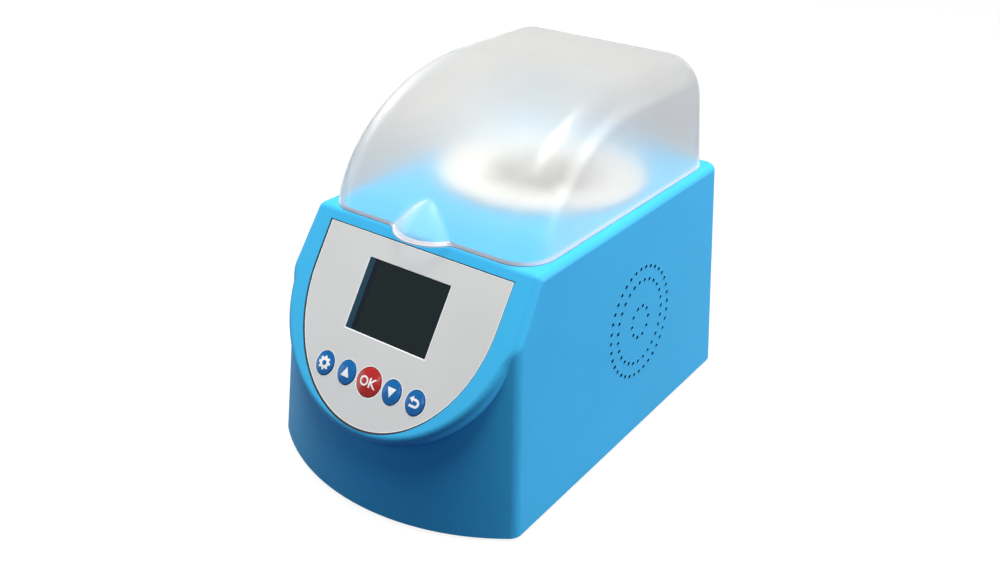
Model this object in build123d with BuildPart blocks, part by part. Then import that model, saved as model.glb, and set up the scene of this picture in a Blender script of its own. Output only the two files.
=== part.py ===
from build123d import *
from math import atan, cos, pi, radians, sin, sqrt, tan
import os

# Portable reflux digester for oxygen demand tests: a moulded housing with a sloped console,
# a frosted hinged lid over a six-well heating block, and the electrics inside.
# Millimetres, +X to the right seen from the front, the front faces -Y, +Z up,
# origin under the middle of the overall box, feet on z = 0.

os.makedirs("parts", exist_ok=True)

# Housing
LENGTH = 292.0
BASE_WIDTH = 186.0
DECK_WIDTH = 164.0
DECK_Z = 155.0
FOOT_DROP = 2.0
WALL = 2.6
DECK_T = 3.0
REAR_LEAN = 6.5
FRONT_LEAN = 11.5
BOW_R = 147.5
CORNER_R = 9.0
EDGE_R = 5.0

# Sloped console and the lip that frames it
SLOPE = radians(33.6)
CONSOLE_DROP = 6.3
CONSOLE_T = 2.8
LIP_SIDE_SET = 2.3
LIP_CENTRE = 31.0
LIP_DEPTH = 30.0
LIP_OVERHANG = 3.5

# Panel, display and keys, measured down the console from the panel's top edge
PANEL_WIDTH = 134.8
PANEL_RIM = 4.4
PANEL_STRAIGHT = 28.0
PANEL_T = 0.8
PANEL_RECESS = 1.2
PANEL_GAP = 0.5
WINDOW_WIDTH = 60.0
WINDOW_HEIGHT = 43.5
WINDOW_DROP = 35.3
WINDOW_SET = 0.7
WINDOW_GAP = 0.2
MODULE_BORDER = 5.5
MODULE_T = 5.0
KEY_NAMES = ("key_settings", "key_up", "key_ok", "key_down", "key_back")
KEY_PITCH = 17.1
KEY_DROP = 81.1
KEY_RX = 6.4
KEY_RY = 7.2
OK_R = 8.6
KEY_GAP = 0.35
KEY_TRAVEL = 0.6
KEY_PROUD = 1.2
KEY_CROWN_R = 38.0
KEY_FLANGE = 0.7
KEY_FLANGE_T = 1.0
KEY_STEM_R = 2.0
KEY_STEM = 1.2
DOME_H = 2.7
DOME_SIZE = 6.0
BOARD_T = 1.6
BOARD_MARGIN = 6.2
POST_R = 2.5

# Lid
LID_WIDTH = 154.0
LID_TOP_Z = 232.8
LID_T = 2.5
LID_FRONT_SET = 2.2
LID_REAR_SET = 3.0
LID_LIFT = 0.3
LID_BARREL = 113.0
BARREL_DROP = 12.0
LID_SIDE_DRAFT = radians(4.6)
LID_REAR_DRAFT = radians(4.0)
LID_EDGE_R = 22.0
LID_REAR_R = 32.0
SCOOP_R = 25.0
SCOOP_REACH = 11.0
SCOOP_DOME_R = 64.0
SCOOP_DOME_DROP = 31.0
SCOOP_BLEND_R = 6.0

# Hinge
HINGE_X = 46.0
HINGE_RISE = 3.5
KNUCKLE_R = 4.0
KNUCKLE_GAP = 0.8
LUG_WIDTH = 14.2
LUG_T = 4.0
LUG_SIDE_GAP = 0.4
EAR_T = 4.0
EAR_DEPTH = 4.0
EAR_LAP = 8.0
HINGE_PIN_R = 2.0
HINGE_PIN_PLAY = 0.06
BRACKET_T = 3.0
BRACKET_TOP = 149.0
BRACKET_FOOT = 124.0
BRACKET_SCREW_Z = 130.0
BRACKET_SCREW_X = 6.5

# Heating block and what surrounds it
BLOCK_R = 36.0
BLOCK_BASE_T = 12.0
BLOCK_RISE = 2.0
BLOCK_BACK = 97.0
WELL_R = 8.2
WELL_DEPTH = 80.0
WELL_COUNT = 6
WELL_PCD = 47.0
COLLAR_R = 67.0
COLLAR_H = 5.0
COLLAR_NECK_R = 59.6
COLLAR_NECK = 6.0
COLLAR_EDGE_R = 2.0
COLLAR_DISH = 5.0
FIT_GAP = 0.4
HEATER_T = 3.0
HEATER_H = 60.0
JACKET_T = 16.6
JACKET_FLOOR = 10.0
CAN_T = 1.0
SKIN_GAP = 0.1
PROBE_R = 2.5
PROBE_REACH = 20.0
PROBE_TAIL = 8.0
PROBE_HEX_R = 5.0
PROBE_HEX_H = 4.0
CUTOUT_R = 8.0
CUTOUT_H = 7.0
CUTOUT_X = 20.0
STANDOFF_R = 4.0
STANDOFF_PCD = 90.0
STANDOFF_COUNT = 4

# Base plate, feet and their screws
BASE_T = 4.0
BASE_GAP = 0.4
FOOT_R = 9.0
FOOT_SINK = 2.0
FOOT_SIDE_INSET = 19.0
FOOT_INSET = 22.0
FOOT_FRONT_INSET = 44.0
SCREW_R = 1.5
SCREW_HEAD_R = 2.9
SCREW_HEAD_H = 1.8
SCREW_LENGTH = 12.0
SCREW_PLAY = 0.1
FOOT_CHAMFER = 0.6
FOOT_WEB = 1.2
BOSS_R = 5.0
BOSS_H = 34.0

# Side vents: rings of small round holes through both side walls
VENT_HOLE_R = 1.4
VENT_RINGS = (36.5, 28.0, 10.5)
VENT_PITCH = 6.4
VENT_BACK = 115.0
VENT_Z = 80.0

# Rear wall: fan, power inlet and rocker switch, measured up the wall from its lower edge
FAN_X = -40.0
FAN_RISE = 84.0
FAN_SIZE = 60.0
FAN_T = 15.0
FAN_CORNER_R = 4.0
FAN_BORE_R = 28.0
FAN_SPACING = 50.0
FAN_WEB_T = 2.0
FAN_STRUT = 4.0
FAN_HUB_R = 13.0
FAN_TIP_GAP = 1.0
FAN_BLADES = 7
FAN_BLADE_T = 1.4
FAN_BLADE_W = 11.0
FAN_BLADE_PITCH = 40.0
FAN_SHAFT_R = 1.5
FAN_SHAFT_PLAY = 0.05
SLOT_W = 3.2
SLOT_PITCH = 6.4
SLOT_COUNT = 8
INLET_X = 48.0
INLET_RISE = 70.0
INLET_W = 27.0
INLET_H = 19.8
INLET_DEPTH = 22.0
INLET_FLANGE = 2.2
INLET_FLANGE_T = 2.4
INLET_MOUTH_W = 24.4
INLET_MOUTH_H = 16.8
INLET_MOUTH_DEPTH = 16.0
INLET_CHAMFER = 4.5
CUT_GAP = 0.15
PIN_W = 2.0
PIN_H = 4.0
PIN_LENGTH = 14.0
PIN_TAIL = 6.0
PIN_SPREAD = 7.0
PIN_STEP = 2.0
ROCKER_RISE = 102.0
BEZEL_W = 15.0
BEZEL_H = 21.0
BEZEL_T = 2.0
BEZEL_CORNER_R = 1.5
ROCKER_BODY_W = 13.0
ROCKER_BODY_H = 19.0
ROCKER_BODY_DEPTH = 13.0
ROCKER_W = 9.6
ROCKER_R = 8.2
ROCKER_PIVOT = 1.8
ROCKER_FACE = 4.5
ROCKER_HOLLOW = 1.4
ROCKER_THROW = 16.0
ROCKER_GAP = 0.35
ROCKER_ROOT = 4.5
TRUNNION_R = 1.2
TRUNNION_LENGTH = 1.0
TRUNNION_PLAY = 0.05

# Electronics on the base plate
BOARD_L = 108.0
BOARD_LIFT = 6.0
BOARD_EDGE = 4.0
RELAY_SIZE = 16.0
CAPACITOR_R = 6.0
SUPPLY_L = 100.0
SUPPLY_H = 30.0
SIDE_ROOM = 5.0
STANDOFF_ROOM = 3.2


def rise(z):
    """Share of the housing's height at one level."""
    return (z - FOOT_DROP) / (DECK_Z - FOOT_DROP)


def half_width(z):
    """Half the housing's width at one level: the sides lean in."""
    return BASE_WIDTH / 2 - rise(z) * (BASE_WIDTH - DECK_WIDTH) / 2


def bow_y(z):
    """Middle of the bowed front at one level."""
    return -LENGTH / 2 + LIP_OVERHANG + rise(z) * FRONT_LEAN


def rear_y(z):
    """The rear wall at one level."""
    return LENGTH / 2 - rise(z) * REAR_LEAN


# Derived places
BOW_DEPTH = BOW_R - sqrt(BOW_R**2 - (BASE_WIDTH / 2) ** 2)
PANEL_TOP_Z = DECK_Z - CONSOLE_DROP
LIP_R = half_width(PANEL_TOP_Z - LIP_CENTRE * cos(SLOPE)) - LIP_SIDE_SET
PANEL_LENGTH = LIP_CENTRE + LIP_R - PANEL_RIM
PANEL_TOP_Y = -LENGTH / 2 + (LIP_CENTRE + LIP_R) * sin(SLOPE)
BLOCK_Y = rear_y(DECK_Z) - BLOCK_BACK
BLOCK_TOP_Z = DECK_Z + BLOCK_RISE
BLOCK_FLOOR_Z = BLOCK_TOP_Z - WELL_DEPTH
BLOCK_Z = BLOCK_FLOOR_Z - BLOCK_BASE_T
HEATER_R = BLOCK_R + SKIN_GAP + HEATER_T
JACKET_R = BLOCK_R + FIT_GAP + HEATER_T + JACKET_T
JACKET_Z = BLOCK_Z - JACKET_FLOOR
CAN_R = JACKET_R + SKIN_GAP + CAN_T
CAN_Z = JACKET_Z - CAN_T
BASE_TOP_Z = FOOT_DROP + BASE_T
CONSOLE_FLOOR = PANEL_RECESS + CONSOLE_T
KEY_TOP = KEY_PROUD + PANEL_T - PANEL_RECESS
FLANGE_TOP = -CONSOLE_FLOOR - KEY_GAP
STEM_END = FLANGE_TOP - KEY_FLANGE_T - KEY_STEM
DOME_TOP = STEM_END - KEY_TRAVEL - KEY_GAP
KEYPAD_TOP = DOME_TOP - DOME_H
COLLAR_FOOT = DECK_Z - COLLAR_NECK
COLLAR_BORE_R = BLOCK_R + FIT_GAP
BOARD_INSIDE = STANDOFF_PCD / 2 * cos(pi / 4) + STANDOFF_R + STANDOFF_ROOM
BOARD_W = half_width(BASE_TOP_Z + SUPPLY_H) - WALL - SIDE_ROOM - BOARD_INSIDE
BOARD_X = BOARD_INSIDE + BOARD_W / 2
FOOT_X = BASE_WIDTH / 2 - FOOT_SIDE_INSET
FOOT_SEAT = FOOT_DROP + FOOT_SINK - FOOT_WEB
FAN_HUB_T = FAN_T - FAN_WEB_T - 2 * FIT_GAP
FAN_SHAFT_LENGTH = FAN_HUB_T - FAN_WEB_T


LID_FRONT_Y = PANEL_TOP_Y + LID_FRONT_SET
LID_REAR_Y = rear_y(DECK_Z) - LID_REAR_SET
LID_Z = DECK_Z + LID_LIFT
HINGE_Y = LID_REAR_Y + KNUCKLE_GAP + KNUCKLE_R
HINGE_Z = DECK_Z + HINGE_RISE
SCOOP_Y = LID_FRONT_Y + SCOOP_R - SCOOP_REACH
REAR_TILT = atan(REAR_LEAN / (DECK_Z - FOOT_DROP))
SIDE_TILT = atan((BASE_WIDTH - DECK_WIDTH) / 2 / (DECK_Z - FOOT_DROP))
BRACKET_W = LUG_WIDTH + 2 * (LUG_SIDE_GAP + EAR_T)
BRACKET_H = (BRACKET_TOP - BRACKET_FOOT) / cos(REAR_TILT)
BRACKET_TOP_RISE = (BRACKET_TOP - FOOT_DROP) / cos(REAR_TILT)
EAR_FOOT = BRACKET_TOP - EAR_LAP

# The console's surface, local x to the right and local y up the slope,
# and the rear wall's surface, local x towards -X and local y up the wall
console = Plane(
    origin=(0, PANEL_TOP_Y, PANEL_TOP_Z),
    x_dir=(1, 0, 0),
    z_dir=(0, -cos(SLOPE), sin(SLOPE)),
)
rear_wall = Plane(
    origin=(0, LENGTH / 2, FOOT_DROP),
    x_dir=(-1, 0, 0),
    z_dir=(0, cos(REAR_TILT), sin(REAR_TILT)),
)

foot_places = [
    (side * FOOT_X, y)
    for side in (-1, 1)
    for y in (bow_y(FOOT_DROP) + FOOT_FRONT_INSET, rear_y(FOOT_DROP) - FOOT_INSET)
]
key_places = [((index - 2) * KEY_PITCH, -KEY_DROP) for index in range(len(KEY_NAMES))]
slot_offsets = [(index - (SLOT_COUNT - 1) / 2) * SLOT_PITCH for index in range(SLOT_COUNT)]
bracket_screws = [
    (side * HINGE_X + offset, (BRACKET_SCREW_Z - FOOT_DROP) / cos(REAR_TILT))
    for side in (-1, 1)
    for offset in (-BRACKET_SCREW_X, BRACKET_SCREW_X)
]
KEYPAD_X = 2 * KEY_PITCH + KEY_RX + BOARD_MARGIN
KEYPAD_H = 2 * (OK_R + KEY_FLANGE)
post_places = [(side * (KEYPAD_X - POST_R), -KEY_DROP) for side in (-1, 1)]


def facing_out(face):
    """How squarely a face looks the console's way."""
    return face.normal_at().dot(console.z_dir)


def bow_outline(z, inset):
    """A generous plan outline at one level, whose front is the housing's bow, drawn in by inset."""
    width = half_width(z)
    bow_radius = (width**2 + BOW_DEPTH**2) / (2 * BOW_DEPTH)
    front = bow_y(z) + inset
    wide = width + CORNER_R
    side_y = bow_y(z) + bow_radius - sqrt((bow_radius - inset) ** 2 - wide**2)
    with BuildSketch() as outline:
        with BuildLine():
            ThreePointArc((-wide, side_y), (0, front), (wide, side_y))
            Polyline((wide, side_y), (wide, LENGTH / 2), (-wide, LENGTH / 2), (-wide, side_y))
        make_face()
    return outline.sketch


def housing_form(inset, console_inset, low, high):
    """The drafted body between two levels, with flat leaning sides and rear, cut by the console's slope."""
    with BuildPart() as form:
        for z in (low, high):
            with BuildSketch(Plane.XY.offset(z)):
                add(bow_outline(z, inset))
        loft(ruled=True)
        for side in (-1, 1):
            flank = Plane(
                origin=(side * (BASE_WIDTH / 2 - inset), 0, FOOT_DROP),
                x_dir=(0, 1, 0),
                z_dir=(side * cos(SIDE_TILT), 0, sin(SIDE_TILT)),
            )
            split(bisect_by=flank, keep=Keep.BOTTOM)
        split(bisect_by=rear_wall.offset(-inset), keep=Keep.BOTTOM)
        corners = form.edges().filter_by(lambda edge: edge.bounding_box().size.Z > (high - low) / 2)
        fillet(corners, CORNER_R - inset)
        split(bisect_by=console.offset(-console_inset), keep=Keep.BOTTOM)
    return form.part


def panel_outline(grow):
    """The panel: a straight top over half an ellipse."""
    half = PANEL_WIDTH / 2 + grow
    with BuildSketch() as outline:
        with BuildLine():
            Polyline((-half, -PANEL_STRAIGHT), (-half, grow), (half, grow), (half, -PANEL_STRAIGHT))
            EllipticalCenterArc(
                (0, -PANEL_STRAIGHT),
                half,
                PANEL_LENGTH - PANEL_STRAIGHT + grow,
                start_angle=180,
                arc_size=180,
            )
        make_face()
    return outline.sketch


def key_outline(name, grow):
    """A round OK key or a slightly taller oval key."""
    rx, ry = (OK_R, OK_R) if name == "key_ok" else (KEY_RX, KEY_RY)
    with BuildSketch() as outline:
        Ellipse(rx + grow, ry + grow)
    return outline.sketch


def lid_form(inset, below):
    """The lid's barrel-fronted form, drawn in by inset and reaching a little below its rim."""
    foot = LID_Z - BARREL_DROP
    front = LID_FRONT_Y + inset
    centre = LID_FRONT_Y + LID_BARREL
    rear = LID_REAR_Y - inset
    top = LID_TOP_Z - inset
    rear_top = rear - (top - foot) * tan(LID_REAR_DRAFT)
    with BuildPart() as form:
        with BuildSketch(Plane.YZ) as profile:
            with BuildLine():
                Polyline((front, foot), (rear, foot), (rear_top, top), (centre, top))
                EllipticalCenterArc((centre, foot), centre - front, top - foot, start_angle=90, arc_size=90)
            make_face()
            fillet(profile.vertices().sort_by(lambda v: v.X + v.Y)[-1], LID_REAR_R - inset)
            with Locations((0, LID_Z - below)):
                Rectangle(LENGTH, BARREL_DROP, align=(Align.CENTER, Align.MAX), mode=Mode.SUBTRACT)
        extrude(amount=LID_WIDTH / 2)
        flank = Plane(
            origin=(LID_WIDTH / 2 - inset, 0, LID_Z),
            x_dir=(0, 1, 0),
            z_dir=(cos(LID_SIDE_DRAFT), 0, sin(LID_SIDE_DRAFT)),
        )
        split(bisect_by=flank, keep=Keep.BOTTOM)
        flank_face = form.faces().sort_by(Axis.X)[-1]
        fillet(flank_face.edges().sort_by(Axis.Z)[1:], LID_EDGE_R - inset)
        mirror(about=Plane.YZ)
    return form.part


def scoop_form(inset, below):
    """The finger scoop: a domed cone on the lid's rim, drawn in by inset and reaching a little below it."""
    dome_shift = sqrt(SCOOP_DOME_R**2 - SCOOP_DOME_DROP**2) - SCOOP_R
    with BuildPart() as form:
        with BuildSketch(Plane.XZ):
            with Locations((-dome_shift, -SCOOP_DOME_DROP)):
                Circle(SCOOP_DOME_R - inset)
            with Locations((0, -below)):
                Rectangle(SCOOP_R, SCOOP_DOME_R, align=(Align.MIN, Align.MIN), mode=Mode.INTERSECT)
        revolve(axis=Axis.Z)
    return form.part


def finish(piece, name):
    """Label one piece and write it out."""
    piece.label = name
    export_step(piece, f"parts/{name}.step")


# Housing: drafted shell with a bowed front, console, lip, vents and rear cut-outs.
# Its hollow leaves the screw bosses and the keypad's posts standing.
with BuildPart() as hollow:
    add(housing_form(WALL, CONSOLE_FLOOR, FOOT_DROP - 1, DECK_Z - DECK_T))
    with BuildSketch(Plane.XY.offset(BASE_TOP_Z)):
        for x, y in foot_places:
            with Locations((x, y)):
                Circle(BOSS_R)
                Rectangle(BASE_WIDTH / 2, WALL, align=(Align.MIN if x > 0 else Align.MAX, Align.CENTER))
    extrude(amount=BOSS_H, mode=Mode.SUBTRACT)
    with BuildSketch(console.offset(-CONSOLE_FLOOR)):
        with Locations(*post_places):
            Circle(POST_R)
    extrude(amount=KEYPAD_TOP + CONSOLE_FLOOR, mode=Mode.SUBTRACT)

with BuildPart() as housing:
    add(housing_form(0, 0, FOOT_DROP, DECK_Z))
    with BuildSketch(console):
        with BuildLine():
            ThreePointArc((-LIP_R, -LIP_CENTRE), (0, -LIP_CENTRE - LIP_R), (LIP_R, -LIP_CENTRE))
            Polyline(
                (LIP_R, -LIP_CENTRE),
                (PANEL_WIDTH / 2, 0),
                (-PANEL_WIDTH / 2, 0),
                (-LIP_R, -LIP_CENTRE),
            )
        make_face()
    extrude(amount=-LIP_DEPTH)
    slope_face = housing.faces().filter_by(GeomType.PLANE).sort_by(facing_out)[-1]
    deck_face = housing.faces().sort_by(Axis.Z)[-1]
    fillet(list({*slope_face.edges(), *deck_face.edges()}), EDGE_R)
    add(hollow.part, mode=Mode.SUBTRACT)

    # Panel recess, display window and key holes
    with BuildSketch(console):
        add(panel_outline(PANEL_GAP))
    extrude(amount=-PANEL_RECESS, mode=Mode.SUBTRACT)
    with BuildSketch(console):
        with Locations((0, -WINDOW_DROP)):
            Rectangle(WINDOW_WIDTH + 2 * WINDOW_GAP, WINDOW_HEIGHT + 2 * WINDOW_GAP)
        for name, place in zip(KEY_NAMES, key_places):
            with Locations(place):
                add(key_outline(name, KEY_GAP))
    extrude(amount=-CONSOLE_FLOOR - 1, mode=Mode.SUBTRACT)

    # Seat for the block's collar
    with BuildSketch(Plane.XY.offset(DECK_Z)):
        with Locations((0, BLOCK_Y)):
            Circle(COLLAR_NECK_R + FIT_GAP)
    extrude(amount=-DECK_T - 1, mode=Mode.SUBTRACT)

    # Side vents, straight through both walls
    with BuildSketch(Plane.YZ):
        with Locations((PANEL_TOP_Y + VENT_BACK, VENT_Z)):
            for ring in VENT_RINGS:
                with PolarLocations(ring, round(2 * pi * ring / VENT_PITCH)):
                    RegularPolygon(VENT_HOLE_R, 8)
    extrude(amount=BASE_WIDTH, both=True, mode=Mode.SUBTRACT)

    # Rear wall: fan slots, power inlet, rocker switch and screw holes
    with BuildSketch(rear_wall):
        for offset in slot_offsets:
            with Locations((-FAN_X + offset, FAN_RISE)):
                SlotOverall(2 * sqrt(FAN_BORE_R**2 - offset**2), SLOT_W, rotation=90)
        with Locations((-FAN_X, FAN_RISE)):
            with GridLocations(FAN_SPACING, FAN_SPACING, 2, 2):
                Circle(SCREW_R + SCREW_PLAY)
        with Locations((-INLET_X, INLET_RISE)):
            Rectangle(INLET_W + 2 * CUT_GAP, INLET_H + 2 * CUT_GAP)
        with Locations((-INLET_X, ROCKER_RISE)):
            Rectangle(ROCKER_BODY_W + 2 * CUT_GAP, ROCKER_BODY_H + 2 * CUT_GAP)
        with Locations(*bracket_screws):
            Circle(SCREW_R + SCREW_PLAY)
    extrude(amount=-WALL - 1, mode=Mode.SUBTRACT)

    # Screw holes in the bosses
    with BuildSketch(Plane.XY.offset(BASE_TOP_Z)):
        with Locations(*foot_places):
            Circle(SCREW_R + SCREW_PLAY)
    extrude(amount=SCREW_LENGTH, mode=Mode.SUBTRACT)
finish(housing.part, "housing")

# Base plate, let into the bottom of the housing, with a recess for each foot
with BuildPart() as base_plate:
    with BuildSketch(Plane.XY.offset(FOOT_DROP)) as plate_outline:
        add(bow_outline(BASE_TOP_Z, WALL + BASE_GAP))
        with Locations((0, rear_y(BASE_TOP_Z) - WALL - BASE_GAP)):
            Rectangle(
                2 * (half_width(BASE_TOP_Z) - WALL - BASE_GAP),
                2 * LENGTH,
                align=(Align.CENTER, Align.MAX),
                mode=Mode.INTERSECT,
            )
        fillet(plate_outline.vertices(), CORNER_R - WALL - BASE_GAP)
    extrude(amount=BASE_T)
    with BuildSketch(Plane.XY.offset(FOOT_DROP)):
        with Locations(*foot_places):
            Circle(FOOT_R + SCREW_PLAY)
    extrude(amount=FOOT_SINK, mode=Mode.SUBTRACT)
    with BuildSketch(Plane.XY.offset(FOOT_DROP)):
        with Locations(*foot_places):
            Circle(SCREW_R + SCREW_PLAY)
    extrude(amount=BASE_T, mode=Mode.SUBTRACT)
finish(base_plate.part, "base_plate")

# Rubber feet, each with a counterbored hole for its screw
with BuildPart() as feet:
    with BuildSketch():
        with Locations(*foot_places):
            Circle(FOOT_R)
    extrude(amount=FOOT_DROP + FOOT_SINK)
    chamfer(feet.faces().sort_by(Axis.Z)[:4].edges(), FOOT_CHAMFER)
    with BuildSketch():
        with Locations(*foot_places):
            Circle(SCREW_HEAD_R + SCREW_PLAY)
    extrude(amount=FOOT_DROP + FOOT_SINK - FOOT_WEB, mode=Mode.SUBTRACT)
    with BuildSketch():
        with Locations(*foot_places):
            Circle(SCREW_R + SCREW_PLAY)
    extrude(amount=FOOT_DROP + FOOT_SINK, mode=Mode.SUBTRACT)
finish(feet.part, "feet")

# Foot screws, which also hold the base plate to the housing's bosses
with BuildPart() as base_screws:
    with BuildSketch(Plane.XY.offset(FOOT_SEAT)):
        with Locations(*foot_places):
            Circle(SCREW_HEAD_R)
    extrude(amount=-SCREW_HEAD_H)
    with BuildSketch(Plane.XY.offset(FOOT_SEAT)):
        with Locations(*foot_places):
            Circle(SCREW_R)
    extrude(amount=SCREW_LENGTH)
finish(base_screws.part, "base_screws")

# Panel overlay, cut for the window and the keys
with BuildPart() as panel_overlay:
    with BuildSketch(console.offset(-PANEL_RECESS)):
        add(panel_outline(0))
        with Locations((0, -WINDOW_DROP)):
            Rectangle(WINDOW_WIDTH + 2 * WINDOW_GAP, WINDOW_HEIGHT + 2 * WINDOW_GAP, mode=Mode.SUBTRACT)
        for name, place in zip(KEY_NAMES, key_places):
            with Locations(place):
                add(key_outline(name, KEY_GAP), mode=Mode.SUBTRACT)
    extrude(amount=PANEL_T)
finish(panel_overlay.part, "panel_overlay")

# Display: a dark window over the display module
with BuildPart() as display_window:
    with BuildSketch(console.offset(-CONSOLE_FLOOR)):
        with Locations((0, -WINDOW_DROP)):
            Rectangle(WINDOW_WIDTH, WINDOW_HEIGHT)
    extrude(amount=CONSOLE_FLOOR - WINDOW_SET)
finish(display_window.part, "display_window")

with BuildPart() as display_module:
    with BuildSketch(console.offset(-CONSOLE_FLOOR)):
        with Locations((0, -WINDOW_DROP)):
            Rectangle(WINDOW_WIDTH + 2 * MODULE_BORDER, WINDOW_HEIGHT + 2 * MODULE_BORDER)
    extrude(amount=-MODULE_T)
finish(display_module.part, "display_module")

# Keys: a crowned cap, a flange that keeps it behind the console, and a stem over its switch
for name, place in zip(KEY_NAMES, key_places):
    key_plane = Plane(
        origin=console.from_local_coords((*place, 0)),
        x_dir=console.x_dir,
        z_dir=console.z_dir,
    )
    with BuildPart(key_plane) as key:
        with BuildSketch(key_plane.offset(FLANGE_TOP)):
            add(key_outline(name, 0))
        extrude(amount=KEY_TOP - FLANGE_TOP)
        with Locations((0, 0, KEY_TOP - KEY_CROWN_R)):
            Sphere(KEY_CROWN_R, mode=Mode.INTERSECT)
        with BuildSketch(key_plane.offset(FLANGE_TOP)):
            add(key_outline(name, KEY_FLANGE))
        extrude(amount=-KEY_FLANGE_T)
        with BuildSketch(key_plane.offset(FLANGE_TOP - KEY_FLANGE_T)):
            Circle(KEY_STEM_R)
        extrude(amount=-KEY_STEM)
    finish(key.part, name)

# Keypad board with a switch under each key
with BuildPart() as keypad_board:
    with BuildSketch(console.offset(KEYPAD_TOP)):
        with Locations((0, -KEY_DROP)):
            Rectangle(2 * KEYPAD_X, KEYPAD_H)
    extrude(amount=-BOARD_T)
    with BuildSketch(console.offset(KEYPAD_TOP)):
        with Locations(*key_places):
            Rectangle(DOME_SIZE, DOME_SIZE)
    extrude(amount=DOME_H)
finish(keypad_board.part, "keypad_board")

# Lid: a frosted shell with a barrel front, a finger scoop and two hinge knuckles
with BuildPart() as lid_inside:
    add(lid_form(LID_T, COLLAR_H))
    with Locations((0, SCOOP_Y, LID_Z)):
        add(scoop_form(LID_T, COLLAR_H))

with BuildPart() as lid:
    add(lid_form(0, 0))
    with Locations((0, SCOOP_Y, LID_Z)):
        add(scoop_form(0, 0))
    fillet(lid.edges(Select.NEW), SCOOP_BLEND_R)
    add(lid_inside.part, mode=Mode.SUBTRACT)
    for side in (-1, 1):
        with BuildSketch(Plane.YZ.offset(side * HINGE_X)):
            with Locations((HINGE_Y, HINGE_Z)):
                Circle(KNUCKLE_R)
                Rectangle(HINGE_Y - LID_REAR_Y + LID_T, LUG_T, align=(Align.MAX, Align.CENTER))
        extrude(amount=LUG_WIDTH / 2, both=True)
        with BuildSketch(Plane.YZ.offset(side * HINGE_X)):
            with Locations((HINGE_Y, HINGE_Z)):
                Circle(HINGE_PIN_R + HINGE_PIN_PLAY)
        extrude(amount=LUG_WIDTH, both=True, mode=Mode.SUBTRACT)
finish(lid.part, "lid")

# Hinge brackets on the rear wall: a screwed plate and two ears round each pin
with BuildPart() as hinge_brackets:
    for side in (-1, 1):
        with BuildSketch(rear_wall):
            with Locations((side * HINGE_X, BRACKET_TOP_RISE)):
                Rectangle(BRACKET_W, BRACKET_H, align=(Align.CENTER, Align.MAX))
        extrude(amount=BRACKET_T)
        for ear in (-1, 1):
            with BuildSketch(Plane.YZ.offset(side * HINGE_X + ear * (BRACKET_W - EAR_T) / 2)):
                with Locations((HINGE_Y, HINGE_Z)):
                    Circle(KNUCKLE_R)
                with Locations((rear_y(EAR_FOOT), EAR_FOOT)):
                    Rectangle(EAR_DEPTH, HINGE_Z - EAR_FOOT, align=(Align.MIN, Align.MIN))
            extrude(amount=EAR_T / 2, both=True)
    with BuildSketch(Plane.YZ):
        with Locations((HINGE_Y, HINGE_Z)):
            Circle(HINGE_PIN_R)
    extrude(amount=BASE_WIDTH / 2, both=True, mode=Mode.SUBTRACT)
    with BuildSketch(rear_wall):
        with Locations(*bracket_screws):
            Circle(SCREW_R + SCREW_PLAY)
    extrude(amount=BRACKET_T, mode=Mode.SUBTRACT)
finish(hinge_brackets.part, "hinge_brackets")

with BuildPart() as hinge_pins:
    for side in (-1, 1):
        with BuildSketch(Plane.YZ.offset(side * HINGE_X)):
            with Locations((HINGE_Y, HINGE_Z)):
                Circle(HINGE_PIN_R)
        extrude(amount=BRACKET_W / 2, both=True)
finish(hinge_pins.part, "hinge_pins")

with BuildPart() as hinge_screws:
    with BuildSketch(rear_wall.offset(BRACKET_T)):
        with Locations(*bracket_screws):
            Circle(SCREW_HEAD_R)
    extrude(amount=SCREW_HEAD_H)
    with BuildSketch(rear_wall.offset(BRACKET_T)):
        with Locations(*bracket_screws):
            Circle(SCREW_R)
    extrude(amount=-SCREW_LENGTH)
finish(hinge_screws.part, "hinge_screws")

# Heating block: a ring of vial wells right through it, closed below by a base plate.
# The probe's bore runs through the plate into the block.
with BuildPart() as heating_block:
    with BuildSketch(Plane.XY.offset(BLOCK_FLOOR_Z)):
        with Locations((0, BLOCK_Y)):
            Circle(BLOCK_R)
            with PolarLocations(WELL_PCD / 2, WELL_COUNT):
                Circle(WELL_R, mode=Mode.SUBTRACT)
    extrude(amount=WELL_DEPTH)
    with BuildSketch(Plane.XY.offset(BLOCK_Z)):
        with Locations((0, BLOCK_Y)):
            Circle(PROBE_R + SKIN_GAP)
    extrude(amount=PROBE_REACH, mode=Mode.SUBTRACT)
finish(heating_block.part, "heating_block")

with BuildPart() as block_base:
    with BuildSketch(Plane.XY.offset(BLOCK_Z)):
        with Locations((0, BLOCK_Y)):
            Circle(BLOCK_R)
            Circle(PROBE_R + SKIN_GAP, mode=Mode.SUBTRACT)
    extrude(amount=BLOCK_BASE_T)
finish(block_base.part, "block_base")

# Collar: a dished insulating ring between the block and the deck
with BuildPart() as block_collar:
    with BuildSketch(Plane.XZ.offset(-BLOCK_Y)) as section:
        with BuildLine():
            Polyline(
                (COLLAR_BORE_R, COLLAR_FOOT),
                (COLLAR_BORE_R, BLOCK_TOP_Z - FIT_GAP),
                (COLLAR_BORE_R + COLLAR_DISH, DECK_Z + COLLAR_H),
                (COLLAR_R, DECK_Z + COLLAR_H),
                (COLLAR_R, DECK_Z),
                (COLLAR_NECK_R, DECK_Z),
                (COLLAR_NECK_R, COLLAR_FOOT),
                close=True,
            )
        make_face()
        fillet(section.vertices().sort_by(lambda v: v.X + v.Y)[-1], COLLAR_EDGE_R)
    revolve(axis=Axis((0, BLOCK_Y, 0), (0, 0, 1)))
finish(block_collar.part, "block_collar")

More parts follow.
